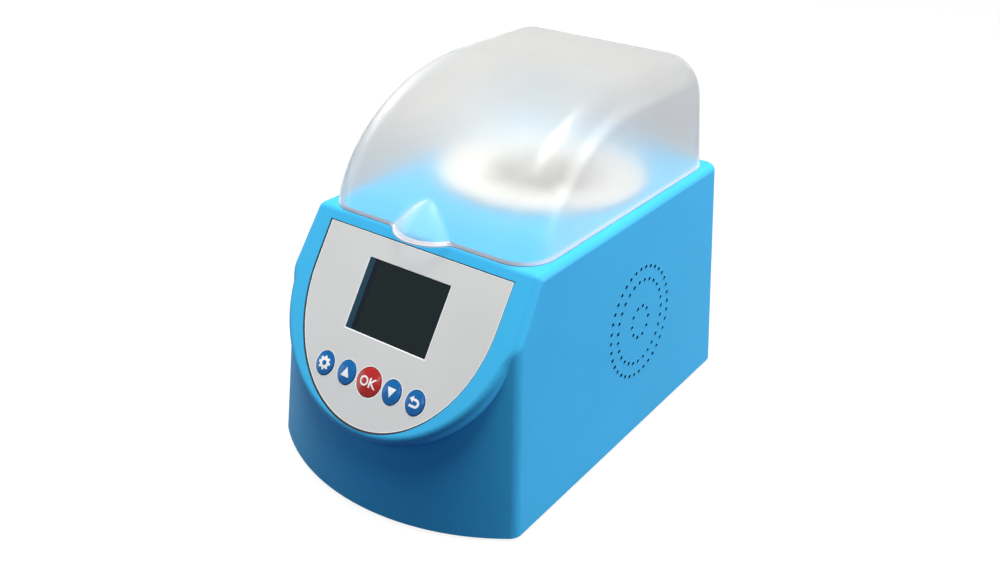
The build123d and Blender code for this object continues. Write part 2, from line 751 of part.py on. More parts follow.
# Heater band, insulation and the sheet can that holds them
with BuildPart() as heater_band:
    with BuildSketch(Plane.XY.offset(BLOCK_Z + JACKET_FLOOR)):
        with Locations((0, BLOCK_Y)):
            Circle(HEATER_R)
            Circle(BLOCK_R + SKIN_GAP, mode=Mode.SUBTRACT)
    extrude(amount=HEATER_H)
finish(heater_band.part, "heater_band")

with BuildPart() as insulation_jacket:
    with BuildSketch(Plane.XY.offset(JACKET_Z)):
        with Locations((0, BLOCK_Y)):
            Circle(JACKET_R)
    extrude(amount=COLLAR_FOOT - SKIN_GAP - JACKET_Z)
    with BuildSketch(Plane.XY.offset(BLOCK_Z)):
        with Locations((0, BLOCK_Y)):
            Circle(HEATER_R + FIT_GAP)
    extrude(amount=COLLAR_FOOT - BLOCK_Z, mode=Mode.SUBTRACT)
    with BuildSketch(Plane.XY.offset(JACKET_Z)):
        with Locations((0, BLOCK_Y)):
            Circle(PROBE_R + SKIN_GAP)
    extrude(amount=JACKET_FLOOR, mode=Mode.SUBTRACT)
finish(insulation_jacket.part, "insulation_jacket")

with BuildPart() as jacket_can:
    with BuildSketch(Plane.XY.offset(CAN_Z)):
        with Locations((0, BLOCK_Y)):
            Circle(CAN_R)
    extrude(amount=COLLAR_FOOT - SKIN_GAP - CAN_Z)
    with BuildSketch(Plane.XY.offset(JACKET_Z)):
        with Locations((0, BLOCK_Y)):
            Circle(JACKET_R + SKIN_GAP)
    extrude(amount=COLLAR_FOOT - JACKET_Z, mode=Mode.SUBTRACT)
    with BuildSketch(Plane.XY.offset(CAN_Z)):
        with Locations((0, BLOCK_Y)):
            Circle(PROBE_R + SKIN_GAP)
    extrude(amount=CAN_T, mode=Mode.SUBTRACT)
finish(jacket_can.part, "jacket_can")

# Temperature probe up the middle of the block, and the over-temperature cut-out beside it
with BuildPart() as temperature_probe:
    with BuildSketch(Plane.XY.offset(CAN_Z)):
        with Locations((0, BLOCK_Y)):
            RegularPolygon(PROBE_HEX_R, 6)
    extrude(amount=-PROBE_HEX_H)
    with BuildSketch(Plane.XY.offset(CAN_Z - PROBE_TAIL)):
        with Locations((0, BLOCK_Y)):
            Circle(PROBE_R)
    extrude(amount=BLOCK_Z + PROBE_REACH - FIT_GAP - CAN_Z + PROBE_TAIL)
finish(temperature_probe.part, "temperature_probe")

with BuildPart() as thermal_cutout:
    with BuildSketch(Plane.XY.offset(CAN_Z)):
        with Locations((CUTOUT_X, BLOCK_Y)):
            Circle(CUTOUT_R)
    extrude(amount=-CUTOUT_H)
finish(thermal_cutout.part, "thermal_cutout")

with BuildPart() as block_standoffs:
    with BuildSketch(Plane.XY.offset(BASE_TOP_Z)):
        with Locations((0, BLOCK_Y)):
            with PolarLocations(STANDOFF_PCD / 2, STANDOFF_COUNT, start_angle=45):
                RegularPolygon(STANDOFF_R, 6)
    extrude(amount=CAN_Z - BASE_TOP_Z)
finish(block_standoffs.part, "block_standoffs")

# Control board with its legs, relays and capacitors
with BuildPart() as control_board:
    with BuildSketch(Plane.XY.offset(BASE_TOP_Z + BOARD_LIFT)):
        with Locations((BOARD_X, BLOCK_Y)):
            Rectangle(BOARD_W, BOARD_L)
    extrude(amount=BOARD_T)
    with BuildSketch(Plane.XY.offset(BASE_TOP_Z)):
        with Locations((BOARD_X, BLOCK_Y)):
            with GridLocations(BOARD_W - 2 * BOARD_EDGE, BOARD_L - 2 * BOARD_EDGE, 2, 2):
                Circle(POST_R)
    extrude(amount=BOARD_LIFT)
    with BuildSketch(Plane.XY.offset(BASE_TOP_Z + BOARD_LIFT + BOARD_T)):
        with Locations((BOARD_X, BLOCK_Y)):
            with GridLocations(0, 2 * RELAY_SIZE, 1, 3):
                Rectangle(RELAY_SIZE, RELAY_SIZE)
    extrude(amount=RELAY_SIZE)
    with BuildSketch(Plane.XY.offset(BASE_TOP_Z + BOARD_LIFT + BOARD_T)):
        with Locations((BOARD_X, BLOCK_Y)):
            with GridLocations(0, 2 * RELAY_SIZE, 1, 2):
                Circle(CAPACITOR_R)
    extrude(amount=1.5 * RELAY_SIZE)
finish(control_board.part, "control_board")

with BuildPart() as power_supply:
    with BuildSketch(Plane.XY.offset(BASE_TOP_Z)):
        with Locations((-BOARD_X, BLOCK_Y)):
            Rectangle(BOARD_W, SUPPLY_L)
    extrude(amount=SUPPLY_H)
    chamfer(power_supply.faces().sort_by(Axis.Z)[-1].edges(), BOARD_T)
finish(power_supply.part, "power_supply")

# Cooling fan behind the rear slots
fan_plane = Plane(
    origin=rear_wall.from_local_coords((-FAN_X, FAN_RISE, -WALL - SKIN_GAP)),
    x_dir=rear_wall.x_dir,
    z_dir=rear_wall.z_dir,
)

with BuildPart() as fan_frame:
    with BuildSketch(fan_plane):
        RectangleRounded(FAN_SIZE, FAN_SIZE, FAN_CORNER_R)
        Circle(FAN_BORE_R, mode=Mode.SUBTRACT)
    extrude(amount=-FAN_T)
    with BuildSketch(fan_plane.offset(-FAN_T)):
        Circle(FAN_HUB_R)
        Rectangle(2 * FAN_BORE_R + FAN_STRUT, FAN_STRUT)
        Rectangle(FAN_STRUT, 2 * FAN_BORE_R + FAN_STRUT)
    extrude(amount=FAN_WEB_T)
    with BuildSketch(fan_plane.offset(FAN_WEB_T - FAN_T)):
        Circle(FAN_SHAFT_R)
    extrude(amount=FAN_SHAFT_LENGTH)
    with BuildSketch(fan_plane):
        with GridLocations(FAN_SPACING, FAN_SPACING, 2, 2):
            Circle(SCREW_R + SCREW_PLAY)
    extrude(amount=-FAN_T, mode=Mode.SUBTRACT)
finish(fan_frame.part, "fan_frame")

with BuildPart() as fan_rotor:
    with BuildSketch(fan_plane.offset(FAN_WEB_T - FAN_T + FIT_GAP)):
        Circle(FAN_HUB_R)
    extrude(amount=FAN_HUB_T)
    for index in range(FAN_BLADES):
        angle = 2 * pi * index / FAN_BLADES
        radial = fan_plane.x_dir * cos(angle) + fan_plane.y_dir * sin(angle)
        blade_plane = Plane(
            origin=fan_plane.origin + radial * (FAN_HUB_R - 1) - fan_plane.z_dir * (FAN_T - FAN_WEB_T) / 2,
            x_dir=radial.cross(fan_plane.z_dir),
            z_dir=radial,
        )
        with BuildSketch(blade_plane):
            Rectangle(FAN_BLADE_W, FAN_BLADE_T, rotation=FAN_BLADE_PITCH)
        extrude(amount=FAN_BORE_R - FAN_TIP_GAP - FAN_HUB_R + 1)
    with BuildSketch(fan_plane.offset(FAN_WEB_T - FAN_T)):
        Circle(FAN_SHAFT_R + FAN_SHAFT_PLAY)
    extrude(amount=FAN_SHAFT_LENGTH + FIT_GAP, mode=Mode.SUBTRACT)
finish(fan_rotor.part, "fan_rotor")

with BuildPart() as fan_screws:
    with BuildSketch(rear_wall):
        with Locations((-FAN_X, FAN_RISE)):
            with GridLocations(FAN_SPACING, FAN_SPACING, 2, 2):
                Circle(SCREW_HEAD_R)
    extrude(amount=SCREW_HEAD_H)
    with BuildSketch(rear_wall):
        with Locations((-FAN_X, FAN_RISE)):
            with GridLocations(FAN_SPACING, FAN_SPACING, 2, 2):
                Circle(SCREW_R)
    extrude(amount=-WALL - FAN_T)
finish(fan_screws.part, "fan_screws")

# Power inlet: a flanged socket with bevelled upper corners and three blades
inlet_plane = Plane(
    origin=rear_wall.from_local_coords((-INLET_X, INLET_RISE, 0)),
    x_dir=rear_wall.x_dir,
    z_dir=rear_wall.z_dir,
)
blade_places = [(-PIN_SPREAD, -PIN_STEP), (0, PIN_STEP), (PIN_SPREAD, -PIN_STEP)]

with BuildPart() as power_inlet:
    with BuildSketch(inlet_plane):
        Rectangle(INLET_W, INLET_H)
    extrude(amount=-INLET_DEPTH)
    with BuildSketch(inlet_plane):
        RectangleRounded(INLET_W + 2 * INLET_FLANGE, INLET_H + 2 * INLET_FLANGE, INLET_FLANGE)
    extrude(amount=INLET_FLANGE_T)
    with BuildSketch(inlet_plane.offset(INLET_FLANGE_T)) as mouth:
        Rectangle(INLET_MOUTH_W, INLET_MOUTH_H)
        chamfer(mouth.vertices().group_by(Axis.Y)[-1], INLET_CHAMFER)
    extrude(amount=-INLET_MOUTH_DEPTH, mode=Mode.SUBTRACT)
    with BuildSketch(inlet_plane):
        with Locations(*blade_places):
            Rectangle(PIN_W, PIN_H)
    extrude(amount=-INLET_DEPTH, mode=Mode.SUBTRACT)
finish(power_inlet.part, "power_inlet")

with BuildPart() as inlet_blades:
    with BuildSketch(inlet_plane.offset(-INLET_DEPTH - PIN_TAIL)):
        with Locations(*blade_places):
            Rectangle(PIN_W, PIN_H)
    extrude(amount=INLET_DEPTH + PIN_TAIL + INLET_FLANGE_T - INLET_MOUTH_DEPTH + PIN_LENGTH)
finish(inlet_blades.part, "inlet_blades")

# Rocker switch: a bezelled body and a rocker on two trunnions
switch_plane = Plane(
    origin=rear_wall.from_local_coords((-INLET_X, ROCKER_RISE, 0)),
    x_dir=rear_wall.x_dir,
    z_dir=rear_wall.z_dir,
)
rocker_pivot = switch_plane.from_local_coords((0, 0, -ROCKER_PIVOT))
tilt = -radians(ROCKER_THROW / 2)
rocker_plane = Plane(
    origin=rocker_pivot,
    x_dir=switch_plane.y_dir * cos(tilt) + switch_plane.z_dir * sin(tilt),
    z_dir=(1, 0, 0),
)

with BuildPart() as switch_body:
    with BuildSketch(switch_plane):
        Rectangle(ROCKER_BODY_W, ROCKER_BODY_H)
    extrude(amount=-ROCKER_BODY_DEPTH)
    with BuildSketch(switch_plane):
        RectangleRounded(BEZEL_W, BEZEL_H, BEZEL_CORNER_R)
    extrude(amount=BEZEL_T)
    with BuildSketch(switch_plane.offset(BEZEL_T)):
        Rectangle(ROCKER_W + 2 * ROCKER_GAP, 2 * (ROCKER_R + ROCKER_GAP))
    extrude(amount=-BEZEL_T - ROCKER_PIVOT - ROCKER_R - ROCKER_GAP, mode=Mode.SUBTRACT)
    with BuildSketch(rocker_plane):
        Circle(TRUNNION_R + TRUNNION_PLAY)
    extrude(amount=ROCKER_W / 2 + ROCKER_GAP + TRUNNION_LENGTH, both=True, mode=Mode.SUBTRACT)
finish(switch_body.part, "switch_body")

with BuildPart() as switch_rocker:
    with BuildSketch(rocker_plane):
        Circle(ROCKER_R)
        with BuildLine():
            Polyline(
                (-ROCKER_R, -ROCKER_ROOT),
                (ROCKER_R, -ROCKER_ROOT),
                (ROCKER_R, ROCKER_FACE),
                (0, ROCKER_FACE - ROCKER_HOLLOW),
                (-ROCKER_R, ROCKER_FACE),
                close=True,
            )
        make_face(mode=Mode.INTERSECT)
    extrude(amount=ROCKER_W / 2, both=True)
    with BuildSketch(rocker_plane):
        Circle(TRUNNION_R)
    extrude(amount=ROCKER_W / 2 + TRUNNION_LENGTH, both=True)
finish(switch_rocker.part, "switch_rocker")
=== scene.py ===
"""Visual scene of a portable reflux digester for oxygen demand tests, dressed over its frame.

Lengths are metres, +X to the right seen from the front, the front faces -Y, +Z up.
"""

from __future__ import annotations

import logging
from collections.abc import Callable, Iterable, Iterator, Mapping, Sequence
from contextlib import contextmanager
from dataclasses import dataclass
from enum import Enum
from math import atan, cos, pi, radians, sin, tau

import bmesh
import bpy
from bpy.types import Material, Mesh, Node, NodeSocket, NodeTree, Object
from mathutils import Matrix, Vector
from mathutils.bvhtree import BVHTree


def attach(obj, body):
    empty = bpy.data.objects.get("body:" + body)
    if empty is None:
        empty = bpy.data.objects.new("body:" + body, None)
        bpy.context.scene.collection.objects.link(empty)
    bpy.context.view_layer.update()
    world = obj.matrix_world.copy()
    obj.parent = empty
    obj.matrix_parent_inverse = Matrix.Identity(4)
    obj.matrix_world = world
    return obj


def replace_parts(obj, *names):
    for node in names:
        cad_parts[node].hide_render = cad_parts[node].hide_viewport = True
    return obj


LOG = logging.getLogger("digester")
Pair = tuple[float, float]
Triple = tuple[float, float, float]
Colour = Triple
Stops = Sequence[tuple[float, Colour]]
MM = 0.001
JOIN = 0.002 * MM


def srgb(*parts: int) -> Colour:
    """Linear colour of a screen colour, given as red, green and blue from 0 to 255."""
    shares = [part / 255 for part in parts]
    red, green, blue = (
        share / 12.92 if share <= 0.04045 else ((share + 0.055) / 1.055) ** 2.4 for share in shares
    )
    return red, green, blue


def toned(colour: Colour, factor: float) -> Colour:
    """A colour made lighter or darker by a factor."""
    red, green, blue = colour
    return red * factor, green * factor, blue * factor


class Field:
    """A socket of a node tree that can be added, multiplied and compared."""

    def __init__(self, tree: NodeTree, socket: NodeSocket) -> None:
        """Keep the tree and the socket that gives the value."""
        self.tree = tree
        self.socket = socket

    def math(self, operation: str, *others: Field | float, clamp: bool = False) -> Field:
        """One Math node on this value.

        Args:
            operation: Name of the Math node's operation.
            others: Second value, where the operation takes one.
            clamp: Whether the result is held between 0 and 1.

        Returns:
            The result as a field.
        """
        links = dict(enumerate((self, *others)))
        node = add_node(self.tree, "ShaderNodeMath", links, operation=operation, use_clamp=clamp)
        return Field(self.tree, node.outputs[0])

    def clamped(self, lift: float = 0.0) -> Field:
        """The value plus a lift, held between 0 and 1."""
        return self.math("ADD", lift, clamp=True)

    def __add__(self, other: Field | float) -> Field:
        """Sum."""
        return self.math("ADD", other)

    def __sub__(self, other: Field | float) -> Field:
        """Difference."""
        return self.math("SUBTRACT", other)

    def __mul__(self, other: Field | float) -> Field:
        """Product."""
        return self.math("MULTIPLY", other)

    def __truediv__(self, other: Field | float) -> Field:
        """Quotient."""
        return self.math("DIVIDE", other)


def add_node(
    tree: NodeTree, kind: str, links: Mapping[int | str, object], **settings: object
) -> Node:
    """Add a node to a tree.

    Args:
        tree: The tree.
        kind: The node's type.
        links: Sockets, fields or plain values for its inputs, by name or number.
        settings: Properties of the node.

    Returns:
        The node.
    """
    node = tree.nodes.new(kind)
    for key, value in settings.items():
        setattr(node, key, value)
    for key, value in links.items():
        source = value.socket if isinstance(value, Field) else value
        if isinstance(source, NodeSocket):
            tree.links.new(source, node.inputs[key])
        else:
            node.inputs[key].default_value = source
    return node


def ray(tree: NodeTree, kind: str) -> Field:
    """1 for rays of one kind, otherwise 0."""
    return Field(tree, add_node(tree, "ShaderNodeLightPath", {}).outputs[f"Is {kind} Ray"])


class Surface:
    """A material under construction: one Principled shader and the textures that feed it."""

    def __init__(self, name: str, constants: dict[str, object]) -> None:
        """Start the material.

        Args:
            name: Name of the material.
            constants: Values set on the shader's own sockets.
        """
        self.material = bpy.data.materials.new(name)
        self.material.use_nodes = True
        self.tree = self.material.node_tree
        self.tree.nodes.clear()
        self.shader = add_node(self.tree, "ShaderNodeBsdfPrincipled", constants)
        self.output = add_node(
            self.tree, "ShaderNodeOutputMaterial", {"Surface": self.shader.outputs[0]}
        )
        self.coordinates = add_node(self.tree, "ShaderNodeTexCoord", {}).outputs["Object"]
        self.relief: NodeSocket | None = None

    def field(
        self,
        kind: str,
        links: Mapping[int | str, object],
        output: int | str = 0,
        **settings: object,
    ) -> Field:
        """Add a node and take one of its outputs as a field."""
        return Field(self.tree, add_node(self.tree, kind, links, **settings).outputs[output])

    def place(self, stretch: Triple = (1, 1, 1), turn: Triple = (0, 0, 0)) -> Field:
        """Object coordinates, stretched and turned by a Mapping node."""
        links = {"Vector": self.coordinates, "Scale": stretch, "Rotation": turn}
        return self.field("ShaderNodeMapping", links)

    def noise(
        self, size: float, detail: float, stretch: Triple = (1, 1, 1), turn: Triple = (0, 0, 0)
    ) -> Field:
        """Noise of one grain size.

        Args:
            size: Size of the grain in metres.
            detail: Octaves of finer noise.
            stretch: Scale of the coordinates per axis.
            turn: Turn of the coordinates, radians.

        Returns:
            The noise from 0 to 1.
        """
        links = {"Scale": 1 / size, "Detail": detail, "Vector": self.place(stretch, turn)}
        return self.field("ShaderNodeTexNoise", links, "Fac")

    def cells(self, size: float, feature: str = "F1") -> Field:
        """Distance field of scattered cells of one size, for pebbles, flakes and tracks."""
        links = {"Scale": 1 / size, "Vector": self.place()}
        return self.field("ShaderNodeTexVoronoi", links, "Distance", feature=feature)

    def facing(self) -> Field:
        """0 where the surface is seen square on, 1 at its outline."""
        return self.field("ShaderNodeLayerWeight", {"Blend": 0.5}, "Facing")

    def axis(self, name: str) -> Field:
        """One object coordinate, X, Y or Z."""
        return self.field("ShaderNodeSeparateXYZ", {0: self.coordinates}, name)

    def feed(self, socket: str, value: Field) -> None:
        """Drive one socket of the shader."""
        self.tree.links.new(value.socket, self.shader.inputs[socket])

    def colour_by(self, value: Field, stops: Stops, stepped: bool = False) -> None:
        """Drive the base colour.

        Args:
            value: Factor from 0 to 1.
            stops: Places on the ramp and their linear colours.
            stepped: Whether the colour changes in steps.
        """
        ramp = add_node(self.tree, "ShaderNodeValToRGB", {0: value})
        ramp.color_ramp.interpolation = "CONSTANT" if stepped else "LINEAR"
        elements = ramp.color_ramp.elements
        while len(elements) < len(stops):
            elements.new(1.0)
        for element, (place, colour) in zip(elements, stops):
            element.position = place
            element.color = (*colour, 1.0)
        self.feed("Base Color", Field(self.tree, ramp.outputs[0]))

    def shade_by(self, value: Field, colour: Colour, *shades: Pair) -> None:
        """Drive the base colour by shades of one colour.

        Args:
            value: Factor from 0 to 1.
            colour: The colour.
            shades: Places on the ramp and how light the colour is there.
        """
        self.colour_by(value, [(place, toned(colour, factor)) for place, factor in shades])

    def roughen(self, value: Field, low: float, high: float) -> None:
        """Drive the roughness from a factor between two values."""
        links = {"Value": value, "To Min": low, "To Max": high}
        self.feed("Roughness", self.field("ShaderNodeMapRange", links))

    def raise_by(self, value: Field, depth: float) -> None:
        """Add relief of a depth in metres to what is there."""
        links = {"Distance": depth, "Height": value}
        if self.relief:
            links["Normal"] = self.relief
        relief = self.field("ShaderNodeBump", links, "Normal")
        self.relief = relief.socket
        self.feed("Normal", relief)

    def cover(self, share: Field, kind: str, links: Mapping[int | str, object]) -> None:
        """Mix another shader over the main one.

        Args:
            share: How much of it shows, from 0 to 1.
            kind: The shader's type.
            links: Values for its inputs.
        """
        mixed = {0: share, 1: self.shader.outputs[0], 2: self.field(kind, links)}
        blend = self.field("ShaderNodeMixShader", mixed)
        self.tree.links.new(blend.socket, self.output.inputs["Surface"])


@dataclass(frozen=True)
class SideWall:
    """How the side walls of the housing lean, and the middle of their vents."""

    base_half: float = 93 * MM
    lean: float = 11 / 153
    foot: float = 2 * MM
    vent_y: float = (-83.462 + 115) * MM
    vent_z: float = 80 * MM


WALL = SideWall()


@dataclass(frozen=True)
class Finish:
    """What a piece's surface is made of."""

    name: str
    slot: str
    colour: Colour

    def material(self) -> Material:
        """The material, built once and shared by the pieces that have this finish."""
        return bpy.data.materials.get(self.name) or self.build()

    def build(self) -> Material:
        """Build the material. Each kind of finish has its own."""
        raise NotImplementedError


@dataclass(frozen=True)
class MouldedPlastic(Finish):
    """Moulded plastic with a fine eroded grain, faint flow patches and a soft sheen."""

    roughness: float = 0.45
    grain: float = 0.45 * MM
    depth: float = 0.02 * MM
    mottle: float = 0.03
    specular: float = 0.35
    smear: float = 0.06

    def build(self) -> Material:
        """Base colour from flow patches, roughness from smears, relief from the grain."""
        surface = Surface(self.name, {"Specular IOR Level": self.specular})
        patches = surface.noise(60 * MM, 4)
        surface.colour_by(*self.tones(surface, patches))
        smears = surface.noise(9 * MM, 5)
        surface.roughen(smears, self.roughness - self.smear, self.roughness + self.smear)
        surface.raise_by(surface.noise(self.grain, 2), self.depth)
        surface.raise_by(patches, 4 * self.depth)
        return surface.material

    def tones(self, surface: Surface, patches: Field) -> tuple[Field, Stops]:
        """What the colour follows, and the colours along it.

        Args:
            surface: The material under construction.
            patches: Its flow patches.

        Returns:
            The factor from 0 to 1 and the stops of its ramp.
        """
        dark, light = (toned(self.colour, 1 + way * self.mottle) for way in (-1, 1))
        return patches, [(0.3, dark), (0.7, light)]


@dataclass(frozen=True)
class VentedPlastic(MouldedPlastic):
    """Moulded plastic with painted shade: near black inside the holes of the two side walls."""

    hole_shade: Colour = (0.002, 0.012, 0.022)
    skin: float = 0.1 * MM
    reach: float = 41 * MM

    def tones(self, surface: Surface, patches: Field) -> tuple[Field, Stops]:
        """The flow patches outside, and painted shade under the skin of the vents, in the hole
        bores.
        """
        # Painted shade: the bores of the vent holes go near black.
        height = surface.axis("Z")
        wall = (height - WALL.foot) * -WALL.lean + WALL.base_half
        depth = wall - surface.axis("X").math("ABSOLUTE") - self.skin
        along = (surface.axis("Y") - WALL.vent_y).math("ABSOLUTE")
        span = along.math("MAXIMUM", (height - WALL.vent_z).math("ABSOLUTE"))
        inside = (depth * (1 / self.skin)).math("MINIMUM", (span - self.reach) * (-1 / MM))
        tone = patches * 0.4 + inside.clamped() * 0.6
        (_, dark), (_, light) = super().tones(surface, patches)[1]
        return tone, [(0.12, dark), (0.28, light), (0.42, light), (0.6, self.hole_shade)]


@dataclass(frozen=True)
class FrostedShell(Finish):
    """Frosted clear plastic that blurs what is behind it, with a paler rim and a painted shadow
    line at its foot, where it meets the deck.
    """

    rim_z: float = 0.1553
    rim_height: float = 1.5 * MM
    # Band over the deck of the painted shadow line at the rim's foot.
    shadow_line: Pair = (0.1 * MM, 0.42 * MM)
    rim_blend: float = 0.15 * MM
    rim_shade: float = 0.12
    roughness: Pair = (0.35, 0.45)
    clearness: float = 0.9
    edge_clearness: float = 0.68
    rim_colour: Colour = (0.86, 0.85, 0.91)
    # Dark blue of the painted shadow line.
    shadow_line_colour: Colour = (0.02, 0.13, 0.27)

    def build(self) -> Material:
        """Rough refraction over the shell, scatter in its rim, a painted shadow line at the rim's
        foot, and light through to the deck.
        """
        coat = {"Coat Weight": 0.16, "Coat Roughness": 0.16, "Coat IOR": 1.45}
        surface = Surface(self.name, {"IOR": 1.22, "Specular IOR Level": 0.2, **coat})
        rim = self.below(surface, self.rim_height)
        # Painted shadow: a dark blue band low on the rim stands for the shade between the rim and
        # the deck.
        shadow_line = self.below(surface, self.shadow_line[1]) - self.below(surface, self.shadow_line[0])
        tone = surface.noise(45 * MM, 4) * 0.2 + rim * 0.4 + shadow_line * 0.4
        shell_stops = [(0.06, toned(self.colour, 0.97)), (0.14, toned(self.colour, 1.01))]
        rim_stops = [(0.4, self.rim_colour), (0.6, self.rim_colour), (0.8, self.shadow_line_colour)]
        surface.colour_by(tone, [*shell_stops, *rim_stops])
        edge = surface.facing().math("POWER", 3.0)
        clearness = edge * (self.edge_clearness - self.clearness) + self.clearness
        surface.feed("Transmission Weight", clearness * (rim * -1.0 + 1.0))
        surface.roughen(surface.noise(14 * MM, 4), *self.roughness)
        surface.raise_by(surface.noise(0.6 * MM, 2), 0.02 * MM)
        surface.raise_by(surface.noise(70 * MM, 2), 0.8 * MM)
        passing = ray(surface.tree, "Shadow").math("MAXIMUM", ray(surface.tree, "Diffuse"))
        tint = {"Color": (0.99, 0.995, 1.0, 1.0)}
        surface.cover(passing * (rim * -self.rim_shade + 1.0), "ShaderNodeBsdfTransparent", tint)
        return surface.material

    def below(self, surface: Surface, height: float) -> Field:
        """1 in the band of the rim up to a height over the deck, 0 above it."""
        return ((surface.axis("Z") - (self.rim_z + height)) * (-1 / self.rim_blend)).clamped(0.5)


@dataclass(frozen=True)
class PrintedSheet(Finish):
    """Silver-grey printed sheet with a fine flake under a satin film."""

    def build(self) -> Material:
        """A faint shift of tone over the sheet, a flake and a leathery film."""
        film = {"Coat Weight": 0.15, "Coat Roughness": 0.35}
        surface = Surface(self.name, {"Metallic": 0.15, "Specular IOR Level": 0.35, **film})
        flake = surface.cells(0.35 * MM)
        tone = surface.noise(70 * MM, 3) * 0.8 + flake * 0.2
        surface.shade_by(tone, self.colour, (0.25, 0.95), (0.75, 1.04))
        surface.roughen(flake, 0.38, 0.52)
        surface.raise_by(surface.noise(0.5 * MM, 2), 0.015 * MM)
        return surface.material


@dataclass(frozen=True)
class SmokedWindow(Finish):
    """Dark glossy window with painted shade along its left side: a bluish strip for the display
    recess's wall in shadow, and a darker band beside it.
    """

    # Painted shade: the recess wall in shadow, then the darker band beside it.
    edge: Colour = srgb(36, 66, 84)
    inner: Colour = srgb(27, 34, 43)
    left_x: float = -30.0 * MM
    shaded_wall_width: float = 4.2 * MM
    inner_shade_width: float = 3.6 * MM
    span: float = 20 * MM

    def build(self) -> Material:
        """Steps of painted shade across the window's left, under a clear coat with faint waviness.
        """
        coat = {"Coat Weight": 0.06, "Coat Roughness": 0.04, "Coat IOR": 1.4}
        surface = Surface(self.name, {"Specular IOR Level": 0.1, **coat})
        across = (surface.axis("X") - self.left_x) / self.span
        steps = (0.0, self.shaded_wall_width, self.shaded_wall_width + self.inner_shade_width)
        colours = (self.edge, self.inner, self.colour)
        stops = [(step / self.span, colour) for step, colour in zip(steps, colours)]
        surface.colour_by(across, stops, stepped=True)
        surface.roughen(surface.noise(6 * MM, 5), 0.14, 0.24)
        surface.raise_by(surface.noise(25 * MM, 2), 0.05 * MM)
        return surface.material


@dataclass(frozen=True)
class DomedResin(Finish):
    """Glossy clear resin over a printed colour."""

    def build(self) -> Material:
        """A slightly clouded colour under a polished coat."""
        coat = {"Coat Weight": 0.6, "Coat Roughness": 0.12}
        surface = Surface(self.name, {"Specular IOR Level": 0.12, **coat})
        surface.shade_by(surface.noise(5 * MM, 4), self.colour, (0.3, 0.9), (0.7, 1.08))
        surface.roughen(surface.noise(2 * MM, 3), 0.22, 0.32)
        surface.raise_by(surface.noise(3 * MM, 2), 0.02 * MM)
        return surface.material


@dataclass(frozen=True)
class WorkedMetal(Finish):
    """Metal with tool marks drawn out along one axis."""

    roughness: float = 0.32
    mark: float = 0.5 * MM
    drawn: Triple = (1.0, 1.0, 0.05)
    metallic: float = 1.0

    def build(self) -> Material:
        """Marks and faint stains drive tone and roughness, and the marks give the relief."""
        surface = Surface(self.name, {"Metallic": self.metallic})
        marks = surface.noise(self.mark, 3, self.drawn)
        tone = marks * 0.5 + surface.noise(12 * MM, 5) * 0.5
        surface.shade_by(tone, self.colour, (0.3, 0.84), (0.7, 1.0))
        surface.roughen(tone, self.roughness - 0.08, self.roughness + 0.12)
        surface.raise_by(marks, 0.02 * MM)
        return surface.material


@dataclass(frozen=True)
class CrushedWool(Finish):
    """Pressed mineral wool with short crossing strands."""

    strand: float = 1.2 * MM

    def build(self) -> Material:
        """Two sets of drawn-out noise crossed over each other."""
        surface = Surface(self.name, {"Roughness": 0.95, "Specular IOR Level": 0.1})
        along = surface.noise(self.strand, 4, (1, 0.12, 1))
        across = surface.noise(self.strand, 4, (0.12, 1, 1), (0, 0, 0.6))
        strands = along.math("MAXIMUM", across)
        surface.shade_by(strands, self.colour, (0.35, 0.7), (0.7, 1.0))
        surface.raise_by(strands, 0.5 * MM)
        return surface.material


@dataclass(frozen=True)
class SoftRubber(Finish):
    """Dull rubber with dusty patches and a fine pebble."""

    def build(self) -> Material:
        """Dust lightens the colour and the pebble makes the relief."""
        surface = Surface(self.name, {"Specular IOR Level": 0.25})
        dust = surface.noise(8 * MM, 5)
        surface.shade_by(dust, self.colour, (0.4, 1.0), (0.8, 1.9))
        surface.roughen(dust, 0.7, 0.92)
        surface.raise_by(surface.cells(0.6 * MM), 0.05 * MM)
        return surface.material


@dataclass(frozen=True)
class CircuitBoard(Finish):
    """Solder mask over copper tracks."""

    def build(self) -> Material:
        """Tracks show as lighter, slightly raised lines in the mask."""
        mask = {"Roughness": 0.35, "Coat Weight": 0.3, "Coat Roughness": 0.2}
        surface = Surface(self.name, mask)
        tracks = surface.cells(4 * MM, "DISTANCE_TO_EDGE").math("LESS_THAN", 0.08)
        surface.shade_by(tracks, self.colour, (0.0, 1.0), (1.0, 2.2))
        surface.raise_by(tracks, 0.04 * MM)
        surface.raise_by(surface.noise(1.5 * MM, 2), 0.01 * MM)
        return surface.material


@dataclass(frozen=True)
class PrintedInk(Finish):
    """Screen-printed ink with an uneven film."""

    def build(self) -> Material:
        """Tone and roughness follow the film's unevenness."""
        surface = Surface(self.name, {"Specular IOR Level": 0.4})
        film = surface.noise(1.1 * MM, 4)
        surface.shade_by(film, self.colour, (0.3, 0.93), (0.7, 1.0))
        surface.roughen(film, 0.4, 0.55)
        surface.raise_by(film, 0.01 * MM)
        return surface.material


